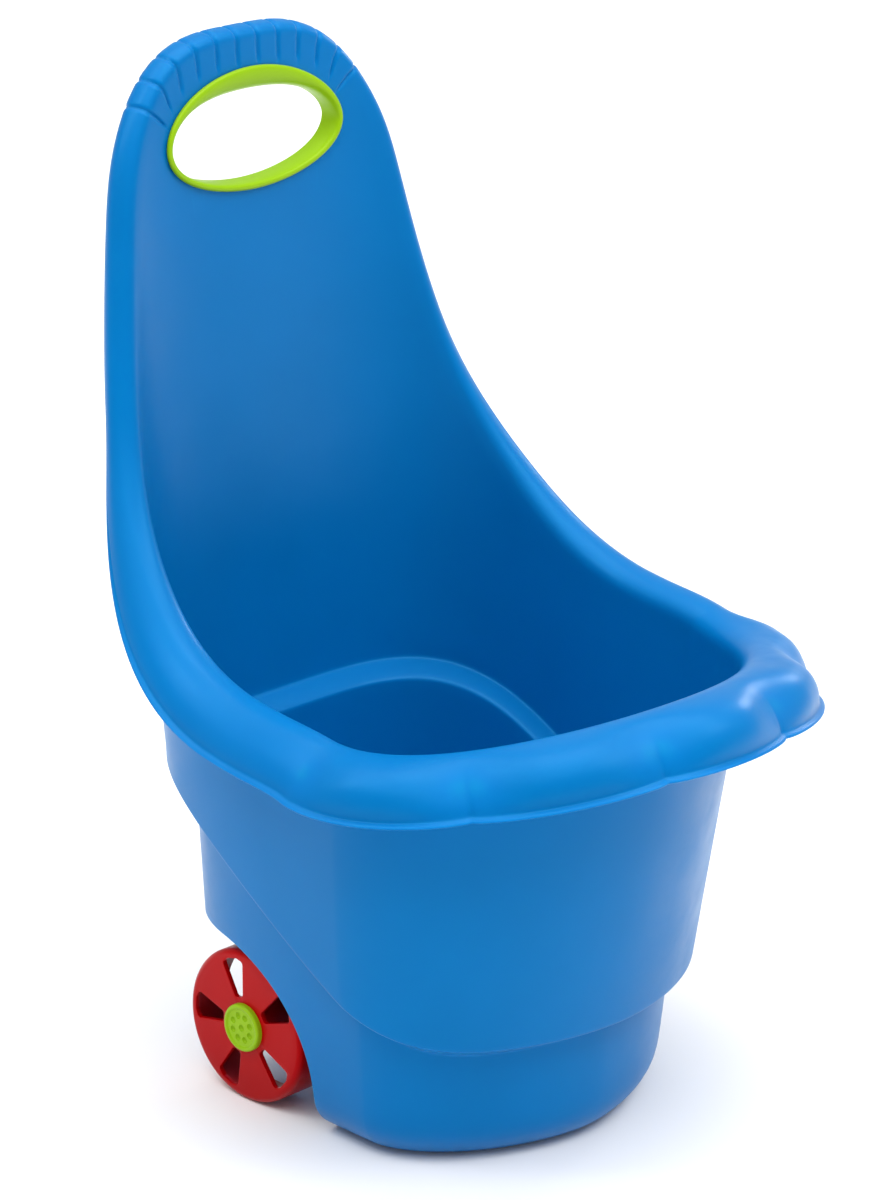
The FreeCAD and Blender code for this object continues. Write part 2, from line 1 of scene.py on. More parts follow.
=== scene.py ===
# %% [markdown]
# # A child's garden cart, moulded in Blender round its CAD frame
# The cart is one deep moulding: a blue plastic bucket whose back rises into a handle, with a green ring that lines
# the hand hole, and two red wheels under the rear. The CAD frame gives every size and place. Blender adds what a
# mould gives the real thing: puffy petals on the rim, a thin bead along the hem, grip grooves over the handle,
# soft corners, and plastic that catches the light.
# Everything is in metres: +Z is up, the front of the bucket is towards -Y, and the axle lies along X.

# %% Load the frame
import bpy
import bmesh
import math
import numpy as np
from mathutils import Matrix, Vector


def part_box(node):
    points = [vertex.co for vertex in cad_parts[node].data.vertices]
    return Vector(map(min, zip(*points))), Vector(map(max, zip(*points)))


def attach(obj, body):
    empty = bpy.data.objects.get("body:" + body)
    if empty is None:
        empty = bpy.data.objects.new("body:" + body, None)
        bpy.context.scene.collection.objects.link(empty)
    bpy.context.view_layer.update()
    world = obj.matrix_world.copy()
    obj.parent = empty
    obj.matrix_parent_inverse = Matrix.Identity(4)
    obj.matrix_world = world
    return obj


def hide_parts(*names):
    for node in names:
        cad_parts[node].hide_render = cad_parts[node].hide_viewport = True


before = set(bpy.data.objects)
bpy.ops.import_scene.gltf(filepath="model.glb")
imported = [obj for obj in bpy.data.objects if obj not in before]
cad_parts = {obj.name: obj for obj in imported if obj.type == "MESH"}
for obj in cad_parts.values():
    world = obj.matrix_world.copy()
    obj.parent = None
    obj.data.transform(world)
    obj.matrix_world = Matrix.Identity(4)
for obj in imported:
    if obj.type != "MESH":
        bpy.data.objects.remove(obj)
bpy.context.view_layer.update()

# %% Small helpers for picking and modelling
MM = 0.001
TUB_CREASE, RING_CREASE, WHEEL_CREASE = 38.0, 42.0, 35.0


def deselect_all():
    if bpy.context.object and bpy.context.object.mode != "OBJECT":
        bpy.ops.object.mode_set(mode="OBJECT")
    bpy.ops.object.select_all(action="DESELECT")


def add(operator, name, **settings):
    """Adds one object with nothing else selected."""
    deselect_all()
    operator(**settings)
    bpy.context.object.name = name
    return bpy.context.object


def make_active(piece):
    deselect_all()
    piece.select_set(True)
    bpy.context.view_layer.objects.active = piece


def apply_modifier(piece, kind, **settings):
    """Adds one modifier to a piece and applies it."""
    make_active(piece)
    modifier = piece.modifiers.new(kind.title(), kind)
    for name, value in settings.items():
        setattr(modifier, name, value)
    bpy.ops.object.modifier_apply(modifier=modifier.name)


def boolean(piece, tool, operation):
    """Joins, cuts or keeps the common part of a piece and a tool, and removes the tool."""
    apply_modifier(piece, "BOOLEAN", operation=operation, object=tool, solver="EXACT")
    bpy.data.objects.remove(tool)


def smooth(piece, degrees):
    """Shades a piece smooth, but keeps edges sharper than so many degrees crisp."""
    make_active(piece)
    bpy.ops.object.shade_smooth_by_angle(angle=math.radians(degrees))


def soften(piece, width, degrees):
    """Rounds edges sharper than so many degrees with a narrow bevel."""
    apply_modifier(piece, "BEVEL", width=width * MM, segments=2, limit_method="ANGLE",
                   angle_limit=math.radians(degrees))


def new_look(name):
    """A new material, its node tree and its shader."""
    look = bpy.data.materials.new(name)
    look.use_nodes = True
    return look, look.node_tree, look.node_tree.nodes["Principled BSDF"]


def set_inputs(made, values):
    """Sets constants on a node's sockets."""
    for name, value in values.items():
        made.inputs[name].default_value = value


def triangles(piece):
    return sum(len(face.vertices) - 2 for face in piece.data.polygons)


# %% [markdown]
# ## The camera
# It stands in front and to the left, above the rim, far off with a long lens, so that the sides stay nearly
# parallel. A short lens close by would make the handle look small and the rim huge. The camera is tipped by a
# hair, as a hand held one is.

# %% The camera
CAMERA_TURN, CAMERA_RISE, CAMERA_TIP = math.radians(-46.09), math.radians(19.83), math.radians(1.29)
CAMERA_AWAY = 2.600
CAMERA_AIM = Vector((-0.02913, -0.00060, 0.3116))
LENS, SENSOR_WIDTH, FARTHEST_SEEN = 187.8, 36.0, 50.0

back = Vector((math.sin(CAMERA_TURN) * math.cos(CAMERA_RISE), -math.cos(CAMERA_TURN) * math.cos(CAMERA_RISE),
               math.sin(CAMERA_RISE)))
level = Vector((math.cos(CAMERA_TURN), math.sin(CAMERA_TURN), 0.0))
rise = back.cross(level)
right_way = level * math.cos(CAMERA_TIP) + rise * math.sin(CAMERA_TIP)
up_way = rise * math.cos(CAMERA_TIP) - level * math.sin(CAMERA_TIP)
camera = add(bpy.ops.object.camera_add, "Camera", location=CAMERA_AIM + back * CAMERA_AWAY)
camera.matrix_world = Matrix((right_way, up_way, back)).transposed().to_4x4()
camera.location = CAMERA_AIM + back * CAMERA_AWAY
camera.data.lens = LENS
camera.data.sensor_fit = "HORIZONTAL"
camera.data.sensor_width = SENSOR_WIDTH
camera.data.clip_end = FARTHEST_SEEN
bpy.context.scene.camera = camera
print("camera at", [round(v, 3) for v in camera.location])

# %% [markdown]
# ## Floor and light
# A product picture has a white floor without a horizon and large soft lights. The floor is one wide pale sheet,
# and the world behind it is as pale, so its edge is lost. A big key lamp hangs high in front and to the right,
# and one above lights the inside. A tall strip behind on the left draws the edge of the back, and a small window
# low on the right puts a highlight on the petals. A wide sun, soft as a lit ceiling, fills the rest. A picture of
# a studio wrapped round the scene would do it too, but then no lamp could be moved alone.

# %% The floor
FLOOR_SIZE, PAPER, PAPER_ROUGHNESS = 30.0, (0.93, 0.93, 0.93, 1.0), 0.9

floor = add(bpy.ops.mesh.primitive_plane_add, "floor", size=FLOOR_SIZE, location=(0.0, 0.0, 0.0))
floor_look, _, floor_shader = new_look("floor_paper")
set_inputs(floor_shader, {"Base Color": PAPER, "Roughness": PAPER_ROUGHNESS})
floor.data.materials.append(floor_look)
print("the floor is", FLOOR_SIZE, "m wide")

# %% The world's even light
WORLD_TONE, WORLD_STRENGTH = (1.0, 1.0, 1.0, 1.0), 0.48

world = bpy.data.worlds.new("studio")
world.use_nodes = True
set_inputs(world.node_tree.nodes["Background"], {"Color": WORLD_TONE, "Strength": WORLD_STRENGTH})
bpy.context.scene.world = world
print("world strength", WORLD_STRENGTH)


# %% The lamps: name, place, aim, width, height and watts
LAMPS = (("key", (1.2, -1.7, 2.5), (0.0, 0.0, 0.3), 1.4, 1.2, 20.0),
         ("above", (0.05, -0.25, 1.7), (0.0, 0.0, 0.1), 0.9, 0.9, 5.0),
         ("left_strip", (-1.5, 0.9, 2.3), (0.0, 0.0, 0.5), 0.34, 1.4, 13.0),
         ("right_window", (1.85, 0.35, 0.95), (0.0, 0.0, 0.3), 0.40, 0.30, 3.2))
CEILING_PLACE, CEILING_STRENGTH, CEILING_SPREAD = Vector((-0.2, -0.25, 2.2)), 3.0, math.radians(80.0)


def soft_light(name, place, aim, wide, tall, power):
    """A rectangular area light at a place, turned to face its aim."""
    lamp = add(bpy.ops.object.light_add, name, type="AREA", location=place)
    lamp.data.shape = "RECTANGLE"
    lamp.data.size, lamp.data.size_y = wide, tall
    lamp.data.energy = power
    lamp.rotation_euler = (Vector(aim) - Vector(place)).to_track_quat("-Z", "Y").to_euler()


for lamp_sizes in LAMPS:
    soft_light(*lamp_sizes)
ceiling = add(bpy.ops.object.light_add, "ceiling", type="SUN", location=CEILING_PLACE)
ceiling.data.energy, ceiling.data.angle = CEILING_STRENGTH, CEILING_SPREAD
ceiling.rotation_euler = (-CEILING_PLACE).to_track_quat("-Z", "Y").to_euler()

# %% [markdown]
# ## True colours
# The usual view transform, AgX, pales strong colours where they are bright, as film does. Toy plastic should
# look strong, so the Standard transform is used, which shows each colour as it is.

# %% The view transform
bpy.context.scene.view_settings.view_transform = "Standard"
print("view transform:", bpy.context.scene.view_settings.view_transform)

# %% [markdown]
# ## The shape of the tub
# The tub is one wall-thick skin. Every place on it is known from two numbers: how far round the rim a column
# stands, and how far up the wall or round the lip a point lies. The plan is a rounded outline, a little wider
# with each millimetre of height, and the rim's line climbs from the front, where it is nearly level, to the top
# of the back. These rules are worked in millimetres, about the line where the plan is widest, because that is
# how such a mould is drawn, and one function turns them into Blender's metres. A reach is how far a wall stands
# from that line, a draft is how much it leans out for each millimetre of height, and a power says how square the
# outline is: 2 is an ellipse.

# %% Sizes of the tub, in millimetres
SIDE_REACH, SIDE_DRAFT = 132.3, 0.072
FRONT_REACH, FRONT_DRAFT, FRONT_POWER = 81.4, 0.178, 1.85
REAR_REACH, REAR_DRAFT, REAR_POWER = 175.0, 0.085, 3.667
LOW_SIDE, LOW_FRONT, LOW_REAR, LOW_POWER = 115.8, 81.3, 171.0, 1.70
WALL = 3.0
LEDGE_FRONT, LEDGE_REAR, LEDGE_START, LEDGE_END = 80.7, 203.2, -79.9, 187.5
LEDGE_WIDTH, LEDGE_FALL = 13.9, 7.0
BASE_ROUND = 25.0
RIM_SHARES = (0.0, 0.16, 0.32, 0.47, 0.60, 0.75, 0.88, 1.0)
RIM_ANGLES = (0.0, 45.0, 90.0, 120.7, 141.3, 155.0, 163.1, 180.0)
RIM_SIDE, RIM_TOP = 261.5, 600.0
RIM_RISES = (0.180, 0.409, 0.705, 0.872)
RIM_HEIGHTS = [279.3, 265.2, RIM_SIDE]
RIM_HEIGHTS += [RIM_SIDE + rise * (RIM_TOP - RIM_SIDE) for rise in RIM_RISES] + [RIM_TOP]
RIM_END_SLOPE = 160.0
BACK_STARTS, BACK_FULL = 0.30, 0.62
LIP_REACH, LIP_DROP, LIP_CREST, BACK_LIP = 39.3, 12.3, 15.0, 8.3
PETAL, BEAD = 5.6, 1.9
NOTCHES = (-16.5, 16.5, 51.0, 85.5)
AXLE_LINE = 98.5
LEDGE_SIGHT, VALLEY_EASE = 40.0, 2.4
LIP_FOOT = 16.0

axle_low, axle_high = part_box("axle")
PLAN_SHIFT = 0.5 * (axle_low.y + axle_high.y) / MM - AXLE_LINE
AXLE_HEIGHT = 0.5 * (axle_low.z + axle_high.z) / MM
print("the plan's widest line lies", round(PLAN_SHIFT, 2), "mm from the origin")


# %% Smooth curves
def blend(value):
    value = min(max(value, 0.0), 1.0)
    return value * value * (3.0 - 2.0 * value)


def sine_cosine(degrees):
    return math.sin(math.radians(degrees)), math.cos(math.radians(degrees))


def signed_power(value, power):
    return math.copysign(abs(value) ** power, value)


def spline(knots, values, first_slope, last_slope):
    """A cubic spline through the values with both end slopes given, as a function of one number."""
    count = len(knots)
    matrix, target = np.zeros((count, count)), np.zeros(count)
    matrix[0, 0] = matrix[-1, -1] = 1.0
    target[0], target[-1] = first_slope, last_slope
    steps = np.diff(knots)
    rises = np.diff(values) / steps
    for i in range(1, count - 1):
        matrix[i, i - 1:i + 2] = steps[i], 2.0 * (steps[i - 1] + steps[i]), steps[i - 1]
        target[i] = 3.0 * (steps[i] * rises[i - 1] + steps[i - 1] * rises[i])
    slopes = np.linalg.solve(matrix, target)

    def value_at(place):
        i = min(max(int(np.searchsorted(knots, place, side="right")) - 1, 0), count - 2)
        part, step = (place - knots[i]) / steps[i], steps[i]
        bend_in = slopes[i] * step - (values[i + 1] - values[i])
        bend_out = (values[i + 1] - values[i]) - slopes[i + 1] * step
        straight = values[i] + part * (values[i + 1] - values[i])
        return straight + part * (1.0 - part) * ((1.0 - part) * bend_in + part * bend_out)

    return value_at


rim_angle = spline(RIM_SHARES, RIM_ANGLES, RIM_ANGLES[1] / RIM_SHARES[1], RIM_END_SLOPE)
rim_height = spline(RIM_SHARES, RIM_HEIGHTS, 0.0, 0.0)


# %% The walls
def plan_point(angle, height, side, depth, power):
    sine, cosine = sine_cosine(angle)
    return Vector((side * signed_power(sine, 2.0 / power), -depth * signed_power(cosine, 2.0 / power), height))


def plan_sizes(angle, height):
    side = SIDE_REACH + SIDE_DRAFT * height
    if abs(angle) < 90.0:
        return side, FRONT_REACH + FRONT_DRAFT * height, FRONT_POWER
    return side, REAR_REACH + REAR_DRAFT * height, REAR_POWER


def wall_point(angle, height, inset=0.0):
    side, depth, power = plan_sizes(angle, height)
    return plan_point(angle, height, side - inset, depth - inset, power)


def ledge_height(angle):
    near = wall_point(angle, LEDGE_FRONT + LEDGE_SIGHT).y
    climbed = blend((near - LEDGE_START) / (LEDGE_END - LEDGE_START))
    return LEDGE_FRONT + (LEDGE_REAR - LEDGE_FRONT) * climbed


def low_point(angle, height, inset=0.0):
    """A point on the low wall, which runs from the base's own outline up to the ledge."""
    top = ledge_height(angle)
    share = min(height / top, 1.0)
    front = abs(angle) < 90.0
    low = (LOW_SIDE, LOW_FRONT if front else LOW_REAR, LOW_POWER if front else REAR_POWER)
    side, depth, power = plan_sizes(angle, top)
    high = (side - LEDGE_WIDTH, depth - LEDGE_WIDTH, power)
    side, depth, power = [a + share * (b - a) for a, b in zip(low, high)]
    return plan_point(angle, height, side - inset, depth - inset, power)


def back_wall_depth(across, height, inset=0.0):
    side, depth = SIDE_REACH + SIDE_DRAFT * height - inset, REAR_REACH + REAR_DRAFT * height - inset
    return depth * (1.0 - abs(across / side) ** REAR_POWER) ** (1.0 / REAR_POWER)


def rim_point(share):
    share = (share + 1.0) % 2.0 - 1.0
    return wall_point(math.copysign(rim_angle(abs(share)), share), rim_height(abs(share)))


def petal_part(angle):
    """How far an angle lies along its petal, from 0 to 1, and 0 behind the last notch."""
    angle = abs(angle)
    for low, high in zip(NOTCHES[:-1], NOTCHES[1:]):
        if low <= angle < high:
            return (angle - low) / (high - low)
    return 0.0


def petal_bulge(angle):
    """0 at the notches between petals and 1 at a petal's middle, for the hem."""
    part = petal_part(angle)
    return (4.0 * part * (1.0 - part)) ** 0.5


def petal_swell(angle):
    """The same with wide soft valleys at the notches, for the petal's upper face."""
    part = petal_part(angle)
    return blend(VALLEY_EASE * min(part, 1.0 - part))


# %% [markdown]
# ## Columns round the rim
# The skin is drawn column by column, like the staves of a barrel. Columns stand some millimetres apart along the
# plain stretches, and crowd together where the shape changes fast: at the notches between petals and in the
# twelve grooves that keep a hand from slipping on the handle.

# %% The grooves over the handle
GROOVE_STEP, GROOVES_EACH_SIDE = 16.4, 6
GROOVE_HALF, GROOVE_DEEP = 2.1, 1.3
GROOVE_OFFSETS = (-5.6, -3.2, -2.2, -1.2, -0.4, 0.4, 1.2, 2.2, 3.2, 5.6)
HANG, HANG_FULL, HANG_FADE = 0.7, 60.0, 40.0
FINE_STEPS = 8001

fine_shares = np.linspace(0.0, 1.0, FINE_STEPS)
rim_run = np.array([rim_point(share) for share in fine_shares[::-1]])
rim_run = np.concatenate([[0.0], np.cumsum(np.linalg.norm(np.diff(rim_run, axis=0), axis=1))])
fine_angles = [rim_angle(share) for share in fine_shares]


def share_at_length(length):
    """The share of the rim that lies a length from the top centre, in millimetres along the rim."""
    return 1.0 - float(np.interp(length, rim_run, fine_shares))


def share_at_angle(angle):
    return float(np.interp(angle, fine_angles, fine_shares))


groove_places = [GROOVE_STEP * (k + 0.5) for k in range(GROOVES_EACH_SIDE)]
groove_columns = sorted({round(place + off, 3) for place in groove_places for off in GROOVE_OFFSETS})


def groove_depth(length):
    """How deep the grip grooves are, a length along the rim from the top centre."""
    nearest = min(abs(length - place) for place in groove_places)
    if nearest >= GROOVE_HALF:
        return 0.0
    return GROOVE_DEEP * math.cos(0.5 * math.pi * nearest / GROOVE_HALF) ** 2


print("grooves at", groove_places, "mm each side of the top")


# %% The columns
SHARE_STEP, ANGLE_STEP = 1.0e-3, 0.1
PLAIN_COLUMNS = 125
NOTCH_CLEAR, NOTCH_OFFSETS = 0.004, (-0.0050, -0.0024, -0.0008, 0.0008, 0.0024, 0.0050)


class Column:
    """One column of the skin: its place on the rim and the directions out of the wall and up it."""

    def __init__(self, share, length_from_top=None):
        self.angle = math.copysign(rim_angle(abs(share)), share)
        self.height = rim_height(abs(share))
        self.rim = rim_point(share)
        along = (wall_point(self.angle + ANGLE_STEP, self.height)
                 - wall_point(self.angle - ANGLE_STEP, self.height))
        self.out = Vector((along.y, -along.x, 0.0)).normalized()
        ahead = rim_point(share + SHARE_STEP) - rim_point(share - SHARE_STEP)
        self.up = self.out.cross(ahead).normalized()
        self.turn = along.normalized().dot(self.up) / (along.length / (2.0 * ANGLE_STEP))
        back = blend((abs(share) - BACK_STARTS) / (BACK_FULL - BACK_STARTS))
        self.back = back
        self.swell = petal_swell(self.angle) * (1.0 - back)
        back_reach = 2.0 * BACK_LIP * back
        self.reach = (LIP_REACH + PETAL * petal_bulge(self.angle)) * (1.0 - back) + back_reach
        self.soft_reach = (LIP_REACH + PETAL * petal_swell(self.angle)) * (1.0 - back) + back_reach
        self.drop = LIP_DROP * (1.0 - back)
        self.crest = LIP_CREST * (1.0 - back) + BACK_LIP * back
        self.groove = self.hang = 0.0
        if length_from_top is not None:
            self.groove = groove_depth(length_from_top)
            self.hang = HANG * (1.0 - blend((length_from_top - HANG_FULL) / HANG_FADE))

    def lip(self, out, up):
        return self.rim + self.out * out + self.up * up

    def below_rim(self, distance, inset):
        return wall_point(self.angle - distance * self.turn, self.height - distance * self.up.z, inset)

    def wall_between(self, part, inset, lift):
        angle = self.angle - LIP_FOOT * self.turn
        low, high = ledge_height(angle) + lift, self.height - LIP_FOOT * self.up.z
        return wall_point(angle, low + part * (high - low), inset)


plain_lengths = np.linspace(rim_run[-1], groove_columns[-1], PLAIN_COLUMNS + 1)[:-1]
half = [(share_at_length(length), None) for length in plain_lengths]
notch_shares = [share_at_angle(angle) for angle in NOTCHES[1:]]
half = [entry for entry in half if min(abs(entry[0] - notch) for notch in notch_shares) > NOTCH_CLEAR]
half += [(notch + off, None) for notch in notch_shares for off in NOTCH_OFFSETS]
half = sorted(half)
half += [(share_at_length(length), length) for length in reversed(groove_columns)]
columns = [Column(-share, length) for share, length in reversed(half[1:])]
columns += [Column(share, length) for share, length in half]
print(len(columns), "columns")

# %% [markdown]
# ## The skin, row by row
# Rows run round the tub. They start under the base, climb the outer wall over the ledge, turn up into the lip,
# go round the hem's bead, over the puffed petals and the crest, and down inside to the floor. Each column's
# points are the poles of a smooth curve, as a pattern maker's spline weights are, so corners come out soft where
# the poles are far apart and crisp where they crowd. The alternative, a coarse cage under a Subdivision
# modifier, would round the grooves away.

# %% Poles of one column
ROWS_PER_SPAN = 2
SIDE_SOFT, SIDE_PASSES = 5.0, 12
SQUARE_CREST = 2.6
PETAL_PUFF, VALLEY_FLAT, PETAL_LIFT = 0.32, 0.10, 3.0
VALLEY_SINK, LIFT_FROM = 0.7, 6.0
GROOVE_BEHIND = 0.7
EDGE_TURNS, LOW_PARTS = (90.0, 74.0, 56.0, 38.0, 20.0, 4.0), (0.15, 0.4, 0.65, 0.85)
UPPER_PARTS = (0.12, 0.3, 0.5, 0.7, 0.88)
UNDER_CREST, UNDER_PETAL = (180, 160, 140, 118, 92), (70, 48, 28, 12)
OVER_PETAL, INNER_CREST = (12, 20, 30, 40, 50, 60, 70, 80, 88), (98, 107, 116, 125, 134, 143, 152, 162, 172)
GROOVE_FADE = ((2.0, 1.0), (5.0, 1.0), (8.0, 1.0), (11.5, 1.0), (14.0, 0.0), (LIP_FOOT, 0.0))


def arc(turns, centre, wide, tall, power=2.0):
    """Places on a quarter of an ellipse, or of a squarer curve, as (out, up) pairs."""
    places = []
    for turn in turns:
        sine, cosine = sine_cosine(turn)
        places.append((centre[0] + wide * signed_power(cosine, 2.0 / power),
                       centre[1] + tall * signed_power(sine, 2.0 / power)))
    return places


def low_poles(c, inset, bottom, radius):
    """From the flat base round its edge and up the low wall."""
    poles = [low_point(c.angle, bottom, inset + radius + 1.0)]
    for turn in EDGE_TURNS:
        sine, cosine = sine_cosine(turn)
        poles.append(low_point(c.angle, bottom + radius * (1.0 - sine), inset + radius * (1.0 - cosine)))
    poles[0].z = poles[1].z = bottom
    end = ledge_height(c.angle) - LEDGE_FALL + bottom
    for part in LOW_PARTS:
        poles.append(low_point(c.angle, bottom + radius + part * (end - bottom - radius), inset))
    return poles


def ledge_poles(c, inset, lift):
    """Over the ledge: a soft inner corner below and a crisp outer corner above."""
    top = ledge_height(c.angle) + lift
    poles = [low_point(c.angle, top - LEDGE_FALL - down, inset) for down in (3.4, 1.3)]
    steps = ((-LEDGE_FALL, LEDGE_WIDTH - 1.2), (-0.5 * LEDGE_FALL, 0.5 * LEDGE_WIDTH), (-0.9, 1.6),
             (-0.1, 0.3), (1.2, 0.0), (3.4, 0.0))
    return poles + [wall_point(c.angle, top + rise, inset + into) for rise, into in steps]


def lip_poles(c):
    """Up under the lip, round the bead on the hem, over the petal and back over the crest; grooves cut it."""
    wall, bead = WALL, BEAD * (1.0 - c.back)
    puff = 2.0 + PETAL_PUFF * c.swell - VALLEY_FLAT * (1.0 - c.swell) * (1.0 - c.back)
    under = arc(UNDER_CREST, (c.crest, 0.0), c.crest, c.crest - wall, SQUARE_CREST)
    under += arc(UNDER_PETAL, (c.crest, -c.drop), c.reach - wall - c.crest, c.crest + c.drop - wall)
    hem = [(c.reach - wall, -c.drop), (c.reach - wall, -c.drop - 0.8 * BEAD), (c.reach, -c.drop - BEAD),
           (c.reach + 1.5 * bead, -c.drop - 0.9 * BEAD), (c.reach + 1.8 * bead, -c.drop - 0.3 * BEAD),
           (c.reach + 1.1 * bead, -c.drop + 0.3 * BEAD), (c.reach - 0.1 * bead, -c.drop + 0.5 * BEAD),
           (c.reach - 0.4 * bead, -c.drop + 1.1 * BEAD)]
    over = []
    for turn in OVER_PETAL:
        hemward = (1.0 - turn / 90.0) ** 2
        reach = c.soft_reach + hemward * (c.reach - c.soft_reach)
        out, up = arc((turn,), (c.crest, -c.drop), reach - c.crest, c.crest + c.drop, puff)[0]
        lift = PETAL_LIFT * (c.swell - VALLEY_SINK * (1.0 - c.back)) * math.sin(math.radians(2.0 * turn))
        way = Vector((out - c.crest, up + c.drop + LIFT_FROM)).normalized() * lift
        over.append((out + way.x, up + way.y))
    inner = arc(INNER_CREST, (c.crest, 0.0), c.crest + wall, c.crest, SQUARE_CREST)
    poles = [c.lip(*place) for place in under + hem]
    for k, (out, up) in enumerate(over + inner):
        deep = c.groove * (GROOVE_BEHIND if k < len(over) else 1.0)
        way = Vector((out - c.crest, up + 0.5 * c.crest)).normalized() * deep
        poles.append(c.lip(out - way.x, up - way.y))
    return poles


def inner_upper_poles(c):
    """Down the inner wall from the lip; the grooves hang almost straight and fade out below the crest."""
    poles = []
    for down, share in GROOVE_FADE:
        square = c.below_rim(down, WALL)
        if c.hang > 0.0:
            across = c.rim.x + (square.x - c.rim.x) * (1.0 - c.hang)
            height = square.z - c.hang * down * (1.0 - c.up.z)
            square = Vector((across, back_wall_depth(across, height, WALL), height))
        poles.append(square + c.out * c.groove * share)
    return poles


def column_poles(c):
    """All poles of one column, from under the base, over the rim, to the inner floor."""
    outer = low_poles(c, 0.0, 0.0, BASE_ROUND) + ledge_poles(c, 0.0, 0.0)
    outer += [c.wall_between(part, 0.0, 0.0) for part in UPPER_PARTS]
    outer += [c.below_rim(LIP_FOOT, 0.0), c.below_rim(7.0, 0.0)]
    inner = [c.wall_between(part, WALL, WALL) for part in reversed(UPPER_PARTS)]
    inner += reversed(ledge_poles(c, WALL, WALL))
    inner += reversed(low_poles(c, WALL, WALL, BASE_ROUND - WALL))
    return outer + lip_poles(c) + inner_upper_poles(c) + inner


def spline_rows(poles, spans):
    """Rows of points on the clamped cubic B-splines of all columns at once; poles is columns x poles x 3."""
    poles = np.concatenate([poles[:, :1], poles[:, :1], poles, poles[:, -1:], poles[:, -1:]], axis=1)
    rows = []
    for span in range(poles.shape[1] - 3):
        four = poles[:, span:span + 4]
        for step in range(spans):
            t = step / spans
            weights = np.array([(1 - t) ** 3, 3 * t ** 3 - 6 * t * t + 4, -3 * t ** 3 + 3 * t * t + 3 * t + 1,
                                t ** 3]) / 6.0
            rows.append(np.einsum("k,ckx->cx", weights, four))
    rows.append(poles[:, -1])
    return rows


all_poles = np.array([[list(p) for p in column_poles(c)] for c in columns])
side_places = [k for k, c in enumerate(columns) if abs(abs(c.angle) - 90.0) < SIDE_SOFT]
for _ in range(SIDE_PASSES):
    between = 0.5 * all_poles + 0.25 * (np.roll(all_poles, 1, axis=0) + np.roll(all_poles, -1, axis=0))
    all_poles[side_places] = between[side_places]
rows = spline_rows(all_poles, ROWS_PER_SPAN)
print(all_poles.shape[1], "poles a column,", len(rows), "rows of", len(columns))


# %% [markdown]
# ## Growing the skin
# The skin starts as a circle with one point for each column. Each step extrudes the open edge by one ring and
# lays the new ring on its row, just as a potter pulls a wall up. Two flat lids close the base and the floor, so
# the tub is one solid, and its recess, brackets and hand hole can be cut cleanly.

# %% Extrude ring after ring
def to_metres(points):
    """Millimetres about the plan's widest line, to Blender's metres about the frame's origin."""
    return (np.asarray(points, float) + (0.0, PLAN_SHIFT, 0.0)) * MM


def ring_mesh(name, count, fill="NOTHING"):
    """A circle of count points, in edit mode with all of it selected."""
    piece = add(bpy.ops.mesh.primitive_circle_add, name, vertices=count, radius=1.0, fill_type=fill)
    bpy.ops.object.mode_set(mode="EDIT")
    bpy.ops.mesh.select_mode(type="EDGE")
    bpy.ops.mesh.select_all(action="SELECT")
    return piece


def lay(piece, numbers, places):
    """Moves the points with the given numbers to their places, in metres."""
    mesh = bmesh.from_edit_mesh(piece.data)
    mesh.verts.ensure_lookup_table()
    for number, place in zip(numbers, places):
        mesh.verts[number].co = place
    bmesh.update_edit_mesh(piece.data)


def grow(name, row_list):
    """An open skin: a circle, extruded ring by ring along the rows, left in edit mode."""
    count = len(row_list[0])
    piece = ring_mesh(name, count)
    ring = list(range(count))
    lay(piece, ring, to_metres(row_list[0]))
    for row in row_list[1:]:
        bpy.ops.mesh.extrude_edges_move()
        mesh = bmesh.from_edit_mesh(piece.data)
        mesh.verts.index_update()
        mesh.verts.ensure_lookup_table()
        first = len(mesh.verts) - count
        ring = [next(edge.other_vert(mesh.verts[number]).index for edge in mesh.verts[number].link_edges
                     if edge.other_vert(mesh.verts[number]).index >= first) for number in ring]
        lay(piece, ring, to_metres(row))
    return piece


# %% Close the skin
def outwards(piece):
    """Turns every face of a closed piece outwards and leaves edit mode."""
    bpy.ops.mesh.select_all(action="SELECT")
    bpy.ops.mesh.normals_make_consistent(inside=False)
    bpy.ops.object.mode_set(mode="OBJECT")
    return piece


def lids(piece, count, total):
    """Closes each open end by itself: the first ring, then the last."""
    for numbers in (range(count), range(total - count, total)):
        bpy.ops.mesh.select_all(action="DESELECT")
        mesh = bmesh.from_edit_mesh(piece.data)
        mesh.verts.ensure_lookup_table()
        ring = {mesh.verts[number] for number in numbers}
        for edge in mesh.edges:
            edge.select = edge.is_boundary and all(vertex in ring for vertex in edge.verts)
        mesh.select_flush(True)
        bmesh.update_edit_mesh(piece.data)
        bpy.ops.mesh.edge_face_add()
    return outwards(piece)


def closed_skin(name, row_list):
    """Grows the rows and puts a flat lid on each end."""
    piece = grow(name, row_list)
    return lids(piece, len(row_list[0]), len(row_list) * len(row_list[0]))


def closed_loop(name, row_list):
    """Grows the rows and bridges the last ring to the first."""
    piece = grow(name, row_list)
    bpy.ops.mesh.select_all(action="DESELECT")
    bpy.ops.mesh.select_non_manifold(extend=False, use_wire=False, use_multi_face=False,
            use_non_contiguous=False, use_verts=False)
    bpy.ops.mesh.bridge_edge_loops()
    return outwards(piece)


tub = closed_skin("tub_skin", rows)
print("the tub's skin has", triangles(tub), "triangles")


# %% [markdown]
# ## Recess, axle brackets and hand hole
# The wheels stand in a recess across the rear of the bucket's underside. On the real mould it is part of the
# same skin; here it is quicker to add a liner where the recess runs and then cut the recess's space away.
# Booleans do this as a carver would: a block joined, a block taken off. The two brackets that hold the axle, the
# axle's bore and the hand hole follow in the same way.

